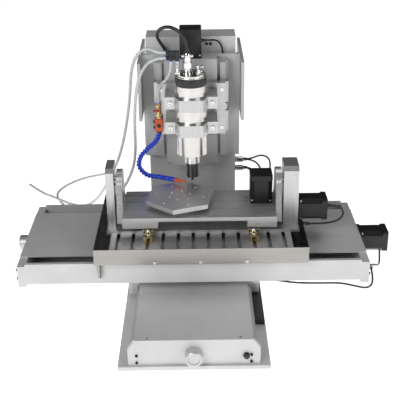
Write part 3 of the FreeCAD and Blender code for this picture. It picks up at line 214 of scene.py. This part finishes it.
coat = powderCoat("silverCoat", 0.63)
# painted shade: a darker copy of the silver coat for the Z covers, frame blocks and frame rails, which stand
# in shade
paintedShadeCoat = powderCoat("shadedCoat", 0.5, 0.38)
milledX = streaked("milledAlongX", grey(0.58), grey(0.70), 0.36, 0.8, (12, 700, 700), 0.000006)
milledZ = streaked("milledAlongZ", grey(0.50), grey(0.66), 0.34, 0.8, (700, 700, 12), 0.000006)
stainless = streaked("brushedStainless", grey(0.29, 0.05), grey(0.40, 0.04), 0.27, 1.0, (6, 900, 900),
                     0.000004)
turned = streaked("turnedSteel", grey(0.56, 0.03), grey(0.70, 0.02), 0.23, 1.0, (8, 8, 1400), 0.000004, 0.06)
ground = streaked("groundSteel", grey(0.60), grey(0.72), 0.16, 1.0, (900, 40, 900), 0.000002, 0.05)
chrome = streaked("nickelPlate", grey(0.66, 0.01), grey(0.80), 0.12, 1.0, (60, 60, 60), 0.000001, 0.05)
# near black: the X rails' bars are black, and their steel rails are made this dark as painted shade; the
# collet nut has it too
blackBarAndShadedRail = streaked("darkRail", grey(0.035), grey(0.08), 0.3, 0.7, (10, 900, 900), 0.000002, 0.06)
blackScrew = streaked("blackOxide", grey(0.03), grey(0.07), 0.34, 0.8, (300, 300, 300), 0.000004, 0.1)
screwSplit = 0.08  # screws below this height, on the front panel, are black, and those above are bright
frameScrew = newFinish("frameScrew", grey(0.05), 0.32, 0.8)
mixByHeight(frameScrew, screwSplit, grey(0.03), grey(0.55))
vary(frameScrew, noise(frameScrew, (300, 300, 300)), "Roughness", 0.22, 0.42)
knobMetal = streaked("knobMetal", grey(0.52), grey(0.62), 0.42, 0.7, (40, 40, 40), 0.000004, 0.05)
zincGold = streaked("yellowZinc", (0.60, 0.45, 0.20), (0.86, 0.74, 0.46), 0.22, 1.0, (55, 55, 55), 0.000003)
zincBright = streaked("brightZinc", grey(0.62), grey(0.82), 0.24, 1.0, (70, 70, 70), 0.000003)
brass = streaked("brass", (0.58, 0.37, 0.14), (0.78, 0.56, 0.26), 0.26, 1.0, (80, 80, 200), 0.000003)
motorBlack = newFinish("motorBlack", (0.014, 0.014, 0.016), 0.33, 0.2)
laminate = noise(motorBlack, (900, 900, 900), 1)
vary(motorBlack, laminate, "Roughness", 0.26, 0.46)
bumps(motorBlack, laminate, 0.000008)
rubber = plastic("blackRubber", (0.022, 0.022, 0.023), 0.55)
blackPlastic = plastic("blackPlastic", (0.018, 0.018, 0.02), 0.36)
cableBlack = plastic("cableSheath", (0.025, 0.025, 0.027), 0.42)
bluePlastic = plastic("bluePlastic", (0.03, 0.075, 0.66), 0.26)
paleBlue = plastic("ringBlue", (0.09, 0.30, 0.78), 0.3)
orangePlastic = plastic("orangePlastic", (0.66, 0.10, 0.02), 0.34)
redPlastic = plastic("redGrip", (0.45, 0.03, 0.02), 0.34)
whitePlastic = plastic("whitePlastic", (0.80, 0.80, 0.78), 0.34)
clearTube = plastic("clearTube", (0.72, 0.745, 0.755), 0.3, 0.000002, Transmission_Weight=0.3, IOR=1.36)

finishes = [
    (coat, "base_plate front_panel base_walls base_cover column_box z_panel beam_frame beam_cover"),
    (paintedShadeCoat, "z_covers frame_blocks frame_rails"),
    (milledX, "saddle table_carriage slot_table trunnion_plate cradle_deck hex_plate c_hub"),
    (milledX, "a_motor_pulley c_motor_pulley"),
    (milledZ, "trunnion_supports cradle_arms z_carriage spindle_clamps"),
    (stainless, "drip_tray"),
    (turned, "spindle_body"),
    (ground, "z_screw pivot_shafts"),
    (knobMetal, "y_screw x_screw"),
    (chrome, "axis_sockets water_fittings"),
    (blackBarAndShadedRail, "x_rails collet_nut"),
    (frameScrew, "frame_screws"),
    (blackScrew, "beam_screws"),
    (zincBright, "z_screws table_screws"),
    (zincGold, "hold_down_clamps"),
    (motorBlack, "frame_motors x_motor a_motor c_motor"),
    (rubber, "feet a_belt c_belt"),
    (blackPlastic, "chain_and_switch"),
    (clearTube, "spindle_hose"),
]
for finish, names in finishes:
    for name in names.split():
        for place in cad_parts[name].material_slots:
            place.material = finish
print("finishes on", sum(len(names.split()) for _, names in finishes), "nodes")

# a floor with a faint glow of its own, so that it is as pale as the backdrop
paleGround = {"half": 9, "grey": 0.72, "rough": 0.8, "glow": 0.95}
reach = paleGround["half"]
floorMesh = bpy.data.meshes.new("floor")
floorMesh.from_pydata([(-reach, -reach, 0), (reach, -reach, 0), (reach, reach, 0), (-reach, reach, 0)], [],
                      [(0, 1, 2, 3)])
floor = bpy.data.objects.new("floor", floorMesh)
floorMesh.materials.append(newFinish("paleFloor", grey(paleGround["grey"]), paleGround["rough"],
                                     Emission_Color=(1, 1, 1, 1), Emission_Strength=paleGround["glow"]))
bpy.context.scene.collection.objects.link(floor)

# cables and hoses: each a smooth curve through its route's control points, in metres
cordRoutes = {
    "spindleCable": [(-.034, .091, .638), (-.034, .091, .666), (-.052, .096, .692), (-.082, .117, .7),
                     (-.108, .151, .682), (-.114, .187, .656), (-.104, .216, .63), (-.088, .23, .6),
                     (-.086, .23, .56)],
    "zMotorCable": [(.0025, .197, .642), (.022, .197, .642), (.042, .209, .64), (.055, .224, .624),
                    (.06, .23, .6), (.061, .23, .572)],
    "waterHoseLeft": [(-.087, .083, .6405), (-.108, .083, .6405), (-.136, .101, .652), (-.168, .137, .618),
                      (-.184, .167, .566), (-.191, .191, .49), (-.207, .214, .4), (-.229, .244, .31),
                      (-.262, .299, .225), (-.296, .379, .145), (-.334, .444, .072), (-.378, .491, .028),
                      (-.431, .536, .016), (-.486, .589, .015), (-.551, .659, .006), (-.6, .729, .0045)],
    "waterHoseRight": [(-.087, .083, .6275), (-.11, .083, .6275), (-.136, .093, .612), (-.157, .101, .578),
                       (-.17, .103, .52), (-.176, .115, .44), (-.179, .151, .36), (-.19, .201, .285),
                       (-.222, .247, .205), (-.276, .304, .118), (-.331, .379, .042), (-.386, .456, .007),
                       (-.441, .529, .0045), (-.482, .594, .0045), (-.496, .661, .0045), (-.46, .737, .0045),
                       (-.396, .797, .0045), (-.332, .817, .0045)],
    "valveHose": [(-.075, .083, .62), (-.075, .083, .6), (-.084, .095, .572), (-.104, .117, .548),
                  (-.112, .13, .522), (-.112, .13, .494)],
    "socketCableTopFront": [(.12, .266, .278), (.14, .266, .278), (.168, .266, .291), (.193, .267, .281),
                            (.198, .267, .25), (.186, .267, .198), (.164, .268, .14), (.144, .269, .088),
                            (.142, .269, .028)],
    "socketCableTopBack": [(.12, .288, .268), (.142, .288, .268), (.165, .288, .252), (.176, .289, .222),
                           (.172, .289, .172), (.158, .291, .122), (.144, .293, .078), (.142, .293, .028)],
    "socketCableLowFront": [(.12, .266, .252), (.138, .266, .252), (.152, .266, .234), (.156, .267, .2),
                            (.148, .267, .15), (.128, .269, .088), (.126, .269, .028)],
    "socketCableLowBack": [(.12, .288, .242), (.135, .288, .242), (.146, .289, .226), (.149, .289, .19),
                           (.142, .29, .14), (.128, .293, .084), (.126, .293, .028)],
    "aMotorCable": [(.319, -.0045, .255), (.339, -.0045, .255), (.36, -.004, .249), (.367, -.003, .229),
                    (.354, -.002, .21), (.324, -.003, .203), (.292, -.0045, .203), (.267, -.0045, .203)],
    "xMotorCable": [(.474, .0225, .1175), (.474, .0225, .099), (.473, .009, .087), (.466, -.019, .088),
                    (.454, -.053, .104), (.438, -.087, .124), (.422, -.113, .1385), (.42, -.137, .1385),
                    (.421, -.154, .126), (.42, -.16, .108), (.408, -.158, .097), (.384, -.149, .097),
                    (.346, -.14, .103), (.29, -.137, .101), (.232, -.136, .102), (.186, -.125, .104),
                    (.158, -.114, .102), (.14, -.113, .101)],
}
cordFacts = {  # node, body, diameter, length, far end, stiffness, lay, finish
    "spindleCable": ("spindle_cable", "z_slide", .009, .299, "object", "medium", "hanging", cableBlack),
    "zMotorCable": ("z_motor_cable", "base", .005, .12, "object", "medium", "hanging", cableBlack),
    "waterHoseLeft": ("water_hose_left", "z_slide", .008, 1.178, "bare", "medium", "loose", clearTube),
    "waterHoseRight": ("water_hose_right", "z_slide", .008, 1.317, "bare", "medium", "loose", clearTube),
    "valveHose": ("valve_hose", "z_slide", .008, .146, "object", "medium", "hanging", clearTube),
    "socketCableTopFront": ("socket_cable_top_front", "base", .005, .336, "object", "limp", "hanging",
                            cableBlack),
    "socketCableTopBack": ("socket_cable_top_back", "base", .005, .278, "object", "limp", "hanging",
                           cableBlack),
    "socketCableLowFront": ("socket_cable_low_front", "base", .005, .249, "object", "limp", "hanging",
                            cableBlack),
    "socketCableLowBack": ("socket_cable_low_back", "base", .005, .233, "object", "limp", "hanging",
                           cableBlack),
    "aMotorCable": ("a_motor_cable", "table", .005, .17, "object", "limp", "hanging", cableBlack),
    "xMotorCable": ("x_motor_cable", "beam", .005, .53, "object", "limp", "hanging", cableBlack),
}
for name, (node, body, thick, length, end, stiff, lay, finish) in cordFacts.items():
    line = bpy.data.curves.new(name, "CURVE")
    line.dimensions = "3D"
    line.bevel_depth = thick / 2
    line.bevel_resolution = 5
    line.resolution_u = 12
    line.use_fill_caps = True
    route = line.splines.new("NURBS")
    route.points.add(len(cordRoutes[name]) - 1)
    for point, spot in zip(route.points, cordRoutes[name]):
        point.co = (*spot, 1)
    route.order_u = 3
    route.use_endpoint_u = True
    line.materials.append(finish)
    piece = bpy.data.objects.new(name, line)
    bpy.context.scene.collection.objects.link(piece)
    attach(piece, body)
    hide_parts(node)
    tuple(cordRoutes[name][0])
print("cords laid:", len(cordFacts))


# surfaces worked out on grids, with their places in mm from the spindle's axis and the floor
creaseAngle = 38  # an edge sharper than this, in degrees, is shaded as an edge


# one mesh of several surfaces: each grid is rows by columns by 3, in metres, and its columns go round
def addPiece(name, grids, finish, body, node):
    corners, quads, start = [], [], 0
    for grid in grids:
        rows, columns = grid.shape[:2]
        index = start + np.arange(rows * columns).reshape(rows, columns)
        beside = np.roll(index, -1, axis=1)
        quads.append(np.stack([index[:-1], beside[:-1], beside[1:], index[1:]], -1).reshape(-1, 4))
        corners.append(grid.reshape(-1, 3))
        start += rows * columns
    mesh = bpy.data.meshes.new(name)
    mesh.from_pydata(np.concatenate(corners).tolist(), [], np.concatenate(quads).tolist())
    mesh.update()
    mesh.polygons.foreach_set("use_smooth", np.full(len(mesh.polygons), True))
    mesh.set_sharp_from_angle(angle=math.radians(creaseAngle))
    mesh.materials.append(finish)
    piece = bpy.data.objects.new(name, mesh)
    bpy.context.scene.collection.objects.link(piece)
    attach(piece, body)
    return piece


# two directions square to way, and way itself at length 1
def framesOf(way):
    way = np.array(way, float) / np.linalg.norm(way)
    steep = abs(way[2]) >= 0.9
    side = np.cross(way, (1, 0, 0) if steep else (0, 0, 1))
    side /= np.linalg.norm(side)
    return side, np.cross(way, side), way


# a profile of (radius, height) pairs in mm, turned about way from spot: each point is
# spot + height x way + radius x (cosine x side + sine x up), and wave(angle, height) scales the radius
def lathe(profile, spot, way, around=32, wave=None):
    side, up, along = framesOf(way)
    table = np.array(profile, float)
    angle = np.linspace(0, 2 * np.pi, around, endpoint=False)[None, :, None]
    radius, height = table[:, 0][:, None, None], table[:, 1][:, None, None]
    if wave is not None:
        radius = radius * wave(angle, height)
    outward = np.cos(angle) * side + np.sin(angle) * up
    return np.array(spot) * mm + shift + mm * (height * along + radius * outward)


# straight knurling between two heights: the radius dips count times round, by depth of itself
def flutes(count, depth, low, high):
    def wave(angle, height):
        within = (height > low) * (height < high)
        return 1 - depth * within * (0.5 + 0.5 * np.cos(count * angle))

    return wave


# six flats: the radius shrinks from a corner to the middle of a flat by the cosine of 30 degrees
def sixFlats(angle, height):
    return np.cos(np.pi / 6) / np.cos((angle % (np.pi / 3)) - np.pi / 6)


# a closed cylinder's profile with a small chamfer at both rims
def shaft(radius, low, high, edge=0.4):
    return [(0, low), (radius - edge, low), (radius, low + edge), (radius, high - edge),
            (radius - edge, high), (0, high)]


# a box with chamfered edges as one grid: eight columns round Z, its rows drawn in at the top and bottom
def block(low, high, edge=0.6):
    (x0, y0, z0), (x1, y1, z1) = low, high

    def ring(inset, z):
        left, right, front, back = x0 + inset, x1 - inset, y0 + inset, y1 - inset
        return [(left + edge, front, z), (right - edge, front, z), (right, front + edge, z),
                (right, back - edge, z), (right - edge, back, z), (left + edge, back, z),
                (left, back - edge, z), (left, front + edge, z)]

    middle = ((x0 + x1) / 2, (y0 + y1) / 2)
    rows = [[(*middle, z0)] * 8, ring(edge, z0), ring(0, z0 + edge), ring(0, z1 - edge), ring(edge, z1),
            [(*middle, z1)] * 8]
    return np.array(rows) * mm + shift


# jointed coolant hose: blue ball links along a smooth route, and an orange nozzle
coolant = {
    "links": 28, "ball": 7.0, "neck": 3.6, "lip": 5.9, "sides": 18,
    "shown": (-0.5225, 1.0925), "flatten": 0.72,  # the stretch of each ball that shows, in radians
    "route": [(-86, 41, 410), (-96, 41, 388), (-120, 38, 367), (-139, 34, 345), (-143, 29, 321),
              (-128, 22, 303), (-84, 6, 298.5), (-49, -12, 298.5)],
    "nozzle": [(0, 3), (5.6, 3), (6.2, 4), (6.2, 9), (5.2, 10.5), (5.0, 14), (4.4, 15), (3.2, 32), (2.2, 34),
               (1.6, 34), (1.6, 26), (0, 26)],
}


# evenly spaced points on a smooth curve through the given ones, and the direction at each: every stretch is a
# cubic whose slope at a point is that of the points on both sides of it
def smoothWay(given, count):
    given = np.array(given, float)
    knot = np.concatenate([[0], np.cumsum(np.linalg.norm(np.diff(given, axis=0), axis=1))])
    slope = np.gradient(given, knot, axis=0)
    along = np.linspace(0, knot[-1], 600)
    stretch = np.clip(np.searchsorted(knot, along, "right") - 1, 0, len(given) - 2)
    span = (knot[stretch + 1] - knot[stretch])[:, None]
    part = ((along - knot[stretch])[:, None]) / span
    fine = ((2 * part**3 - 3 * part**2 + 1) * given[stretch]
            + (part**3 - 2 * part**2 + part) * span * slope[stretch]
            + (3 * part**2 - 2 * part**3) * given[stretch + 1]
            + (part**3 - part**2) * span * slope[stretch + 1])
    run = np.concatenate([[0], np.cumsum(np.linalg.norm(np.diff(fine, axis=0), axis=1))])
    even = np.linspace(0, run[-1], count)
    spots = np.stack([np.interp(even, run, fine[:, i]) for i in range(3)], 1)
    return spots, np.gradient(spots, axis=0)


# one link: a short neck, the ball as an arc, and a rim that the next link sits in
def linkShape(ball, neck, lip, half):
    foot = [(0, -half - 0.6), (neck - 0.8, -half - 0.6), (neck, -half)]
    steps = np.linspace(*coolant["shown"], 9)
    bulge = [(ball * math.cos(step), ball * math.sin(step) * coolant["flatten"]) for step in steps]
    return foot + bulge + [(lip * 0.62, half + 0.2), (0, half + 0.2)]


spots, ways = smoothWay(coolant["route"], coolant["links"])
halfPitch = np.linalg.norm(spots[1] - spots[0]) / 2
linkProfile = linkShape(coolant["ball"], coolant["neck"], coolant["lip"], halfPitch)
linkGrids = [lathe(linkProfile, spot, way, coolant["sides"]) for spot, way in zip(spots, ways)]
coolantLinks = addPiece("coolantLinks", linkGrids, bluePlastic, "z_slide", "coolant_hose")
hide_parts("coolant_hose")
nozzle = lathe(coolant["nozzle"], spots[-1], ways[-1], 24)
addPiece("coolantNozzle", [nozzle], orangePlastic, "z_slide", "coolant_hose")
print("coolant hose:", len(spots), "links")

# directions that the turned pieces point in
upward, downward = (0, 0, 1), (0, 0, -1)
toRight, toLeft = (1, 0, 0), (-1, 0, 0)
toFront, toBack = (0, -1, 0), (0, 1, 0)

# spindle head: the cable's plug with its clamp, the water nipple, the water elbow and the cap screws
head = {
    "plugAt": (-8, 2, 586), "nippleAt": (-33, -6, 586), "elbowAt": (18, 16, 586), "elbowArm": 11,
    "plug": [(0, 0), (13, 0), (13, 2.6), (12.4, 3), (9, 3), (9, 6), (10.5, 6.6), (10.5, 11), (9, 11.6),
             (9, 13), (11.4, 13.4), (12, 14), (12, 28), (11.4, 28.6), (10, 29), (10, 32), (9.5, 32.4),
             (9.5, 41), (8.8, 41.6), (8.8, 44), (9.5, 44.6), (9.5, 49.6), (8.2, 51.8), (0, 51.9)],
    "knurl": flutes(30, 0.05, 14.2, 27.8),
    "nippleNut": [(0, 0), (6.3, 0), (6.9, 0.6), (6.9, 4.4), (6.3, 5), (0, 5)],
    "nippleBarb": [(0, 4), (4, 4), (4, 9), (3.5, 9.4), (3.5, 11), (4.1, 11.6), (3.4, 13.9), (0, 13.9)],
    "elbowNut": [(0, 0), (6.9, 0), (7.5, 0.6), (7.5, 4.4), (6.9, 5), (0, 5)],
    "elbowPost": [(0, 4), (4, 4), (4.6, 6), (4.8, 11), (4.2, 14.5), (2.5, 16.3), (0, 16.8)],
    "elbowBarb": [(0, 0), (3.8, 0), (3.8, 6), (3.0, 6.6), (4.1, 8.6), (3.0, 10), (4.1, 12), (3.0, 14.6),
                  (2.2, 15), (0, 15)],
}
ears = {"out": 11.5, "half": 3.4, "front": -2.4, "back": 6.4, "low": 627, "high": 633,
        "screw": shaft(1.9, 0, 11), "screwFront": -4.2, "screwHeight": 630}
capScrews = {"count": 6, "circle": 31.5, "first": 25, "height": 585.8,
             "shape": [(0, 0), (2.6, 0), (2.6, 1.8), (2.2, 2.2), (1.4, 2.2), (1.4, 1), (0, 1)]}
fittings = [lathe(head["plug"], head["plugAt"], upward, 90, head["knurl"])]
for side in (-1, 1):  # the cable clamp's two ears with their screws
    x = head["plugAt"][0] + side * ears["out"]
    low, high = (x - ears["half"], ears["front"], ears["low"]), (x + ears["half"], ears["back"], ears["high"])
    fittings.append(block(low, high))
    fittings.append(lathe(ears["screw"], (x, ears["screwFront"], ears["screwHeight"]), toBack, 14))
fittings.append(lathe(head["nippleNut"], head["nippleAt"], upward, 48, sixFlats))
fittings.append(lathe(head["nippleBarb"], head["nippleAt"], upward, 24))
fittings.append(lathe(head["elbowNut"], head["elbowAt"], upward, 48, sixFlats))
fittings.append(lathe(head["elbowPost"], head["elbowAt"], upward, 24))
fittings.append(lathe(head["elbowBarb"], np.add(head["elbowAt"], (0, 0, head["elbowArm"])), toRight, 24))
for i in range(capScrews["count"]):
    angle = math.radians(360 / capScrews["count"] * i + capScrews["first"])
    spot = (capScrews["circle"] * math.cos(angle), capScrews["circle"] * math.sin(angle), capScrews["height"])
    fittings.append(lathe(capScrews["shape"], spot, upward, 18))
spindleFittings = addPiece("spindleFittings", fittings, chrome, "z_slide", "water_fittings")
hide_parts("water_fittings")

# push-in tee: four ribbed barrels round a small core, each with a blue ring, and one more ring on the valve
tee = {
    "ways": [((-49, -6, 620), upward), ((-33, -6, 620), upward), ((-61, -6, 627.5), toRight),
             ((-61, -6, 640.5), toRight)],
    "barrel": [(0, 0.6), (5.0, 0.6), (5.9, 1.4), (5.9, 8), (5.3, 8.4), (5.3, 10.4), (5.9, 10.8), (5.9, 12.8),
               (5.3, 13.2), (5.3, 15.2), (5.9, 15.6), (5.9, 24.6), (4.8, 25.8), (0, 25.8)],
    "core": ((-49, -9.5, 628), (-33, -2.5, 643)), "coreEdge": 1.2,
    "ring": [(4.1, 0.8), (4.1, -0.9), (5.4, -0.9), (5.8, -0.4), (5.8, 0.3), (4.8, 0.8), (4.1, 0.8)],
    "valveRing": ((-86, 41, 494.4), downward),
}
teeGrids = [lathe(tee["barrel"], spot, way, 28) for spot, way in tee["ways"]]
teeGrids.append(block(*tee["core"], tee["coreEdge"]))
addPiece("hoseTee", teeGrids, blackPlastic, "z_slide", "water_fittings")
ringGrids = [lathe(tee["ring"], spot, way, 28) for spot, way in tee["ways"] + [tee["valveRing"]]]
addPiece("releaseRings", ringGrids, paleBlue, "z_slide", "water_fittings")

# brass valve with its red grip, on the orange hose block
valve = {
    "at": (-86, 41, 453), "stemAt": (-86, 41, 475.5), "collar": (6.1, 12.8), "collarSize": 1.07,
    "body": [(0, 0), (6.2, 0), (6.8, 0.6), (6.8, 3), (5.6, 3.6), (5.6, 6), (7.0, 6.2), (7.0, 12.6), (5.5, 13),
             (5.2, 17), (5.6, 19), (5.6, 26), (5.2, 29), (5.6, 30), (5.6, 37), (5.0, 38), (5.0, 40.9),
             (0, 40.9)],
    "nut": [(0, 30.2), (7.6, 30.2), (8.2, 30.8), (8.2, 36.4), (7.6, 37), (0, 37)],
    "stem": shaft(3, 0, 8), "stemNut": shaft(4.6, 7.2, 8.6, 0.2),
    "grip": ((-100, 30.5, 472.6), (-83, 33.4, 478.4)), "gripEdge": 1.2,
    "seal": [(0, -0.1), (7.6, -0.1), (7.6, 2.4), (6.8, 2.9), (0, 2.9)],
}


# six flats on the valve's collar only
def collarFlats(angle, height):
    low, high = valve["collar"]
    return np.where((height > low) & (height < high), valve["collarSize"] * sixFlats(angle, height), 1.0)


valveGrids = [lathe(valve["body"], valve["at"], upward, 48, collarFlats),
              lathe(valve["nut"], valve["at"], upward, 48, sixFlats),
              lathe(valve["stem"], valve["stemAt"], toFront, 20),
              lathe(valve["stemNut"], valve["stemAt"], toFront, 6)]
addPiece("valveBody", valveGrids, brass, "z_slide", "water_fittings")
addPiece("valveGrip", [block(*valve["grip"], valve["gripEdge"])], redPlastic, "z_slide", "water_fittings")
sealGrid = lathe(valve["seal"], valve["at"], upward, 32)
addPiece("valveSeal", [sealGrid], whitePlastic, "z_slide", "water_fittings")
hoseBlock = {
    "low": (-97, 30, 418), "high": (-75, 52, 453), "edge": 1.4,
    "sidePlugs": (427, 443), "sidePlug": shaft(4.5, 0, 4, 0.6),  # their heights and their shape
    "frontPlugAt": (-86, 30, 435), "frontPlug": shaft(5.4, 0, 3.4, 0.5),
    "outletAt": (-86, 41, 418), "outlet": [(0, -0.2), (6.6, -0.2), (6.6, -4), (5.2, -7.6), (0, -7.6)],
}
blockGrid = block(hoseBlock["low"], hoseBlock["high"], hoseBlock["edge"])
addPiece("hoseBlock", [blockGrid], orangePlastic, "z_slide", "water_fittings")
blockLeft, blockMiddle = hoseBlock["low"][0], valve["at"][1]
plugGrids = [lathe(hoseBlock["sidePlug"], (blockLeft, blockMiddle, z), toLeft, 24)
             for z in hoseBlock["sidePlugs"]]
plugGrids.append(lathe(hoseBlock["frontPlug"], hoseBlock["frontPlugAt"], toFront, 6))
plugGrids.append(lathe(hoseBlock["outlet"], hoseBlock["outletAt"], upward, 28))
addPiece("blockPlugs", plugGrids, blackPlastic, "z_slide", "water_fittings")

# plain black band round the spindle, just proud of its body
band = {"body": 40.02, "proud": 40.16, "inside": 39.6, "low": 557.3, "high": 579.7, "edge": 0.3}
bandShape = [(band["body"], band["low"]), (band["proud"], band["low"] + band["edge"]),
             (band["proud"], band["high"] - band["edge"]), (band["body"], band["high"]),
             (band["inside"], band["high"]), (band["inside"], band["low"]), (band["body"], band["low"])]
addPiece("spindleBand", [lathe(bandShape, (0, 0, 0), upward, 96)], blackPlastic, "z_slide", "spindle_body")
print("spindle head fitted")

# plugs on the column's side
sockets = {
    "x": 120, "places": ((177, 278), (199, 268), (177, 252), (199, 242)),
    "knurl": flutes(24, 0.06, 7.5, 13.4),
    "shell": [(0, 0.2), (8.2, 0.2), (8.2, 3.6), (7.8, 4.1), (6.5, 4.1), (6.5, 7), (7.7, 7.4), (7.7, 13.6),
              (6.7, 14), (7.6, 14.6), (7.6, 23.4), (6.4, 24.6), (4.6, 26), (3.6, 27.6), (0, 27.6)],
    "cableStart": 146,
}
shellGrids = [lathe(sockets["shell"], (sockets["x"], y, z), toRight, 72, sockets["knurl"])
              for y, z in sockets["places"]]
addPiece("socketShells", shellGrids, chrome, "base", "axis_sockets")

# strain reliefs on the cables' ends
sleeve = {"rows": 13, "gap": 0.35, "flare": 0.42, "rib": 0.3, "ribEvery": 3, "start": 0.1, "around": 20}


# a tapered ribbed sleeve: a cone that thins towards its free side, with every third row raised as a rib
def relief(spot, way, thick, long):
    steps = np.linspace(0, 1, sleeve["rows"])
    ribs = sleeve["rib"] * (np.arange(sleeve["rows"]) % sleeve["ribEvery"] == 0)
    radius = thick / 2 + sleeve["gap"] + thick * sleeve["flare"] * (1 - steps) + ribs
    low, high = sleeve["start"], sleeve["start"] + long
    return lathe([(0, low), *zip(radius, low + steps * long), (0, high)], spot, way, sleeve["around"])


columnEnds = [((sockets["cableStart"], y, z), toRight, 5, 11) for y, z in sockets["places"]]
glandEnds = [((x, y, 28), upward, 5, 12) for x in (168, 152) for y in (180, 204)]
reliefs = {  # body, node, and for each end its place, direction, cable thickness and length
    "baseReliefs": ("base", "z_motor_cable", [((28.5, 108, 642), toRight, 5, 12), *columnEnds, *glandEnds]),
    "slideReliefs": ("z_slide", "spindle_cable", [((-8, 2, 638), upward, 9, 16)]),
    "tableReliefs": ("table", "a_motor_cable", [((345, -93.5, 255), toRight, 5, 12),
                                                ((293, -93.5, 203), toRight, 5, 12)]),
    "beamReliefs": ("beam", "x_motor_cable", [((500, -66.5, 117.5), downward, 5, 12),
                                              ((166, -202, 101), toRight, 5, 12)]),
}
for name, (body, node, ends) in reliefs.items():
    addPiece(name, [relief(*end) for end in ends], rubber, body, node)
print("strain reliefs on", sum(len(ends) for _, _, ends in reliefs.values()), "ends")

# bright screws in the cut corners of the stepping motors
motors = {  # the mounting face's centre, the direction out of it, body and node
    "zMotor": ((0, 108, 601), upward, "base", "frame_motors"),
    "xMotor": ((438, -66.5, 146), toRight, "beam", "x_motor"),
    "aMotor": ((269, -93.5, 255), toRight, "table", "a_motor"),
    "cMotor": ((177, -69.5, 265), upward, "cradle", "c_motor"),
}
motorScrew = {"spread": 23.4, "lift": 6.02,
              "shape": [(0, 0), (2.9, 0), (2.9, 3.2), (2.5, 3.6), (1.5, 3.6), (1.5, 1.8), (0, 1.8)]}
for name, (face, way, body, node) in motors.items():
    side, up, along = framesOf(way)
    heads = []
    for a, b in ((-1, -1), (-1, 1), (1, -1), (1, 1)):
        spot = np.array(face) + motorScrew["spread"] * (a * side + b * up) + motorScrew["lift"] * along
        heads.append(lathe(motorScrew["shape"], spot, way, 20))
    addPiece(name + "Screws", heads, zincBright, body, node)
print("motor screws:", 4 * len(motors))
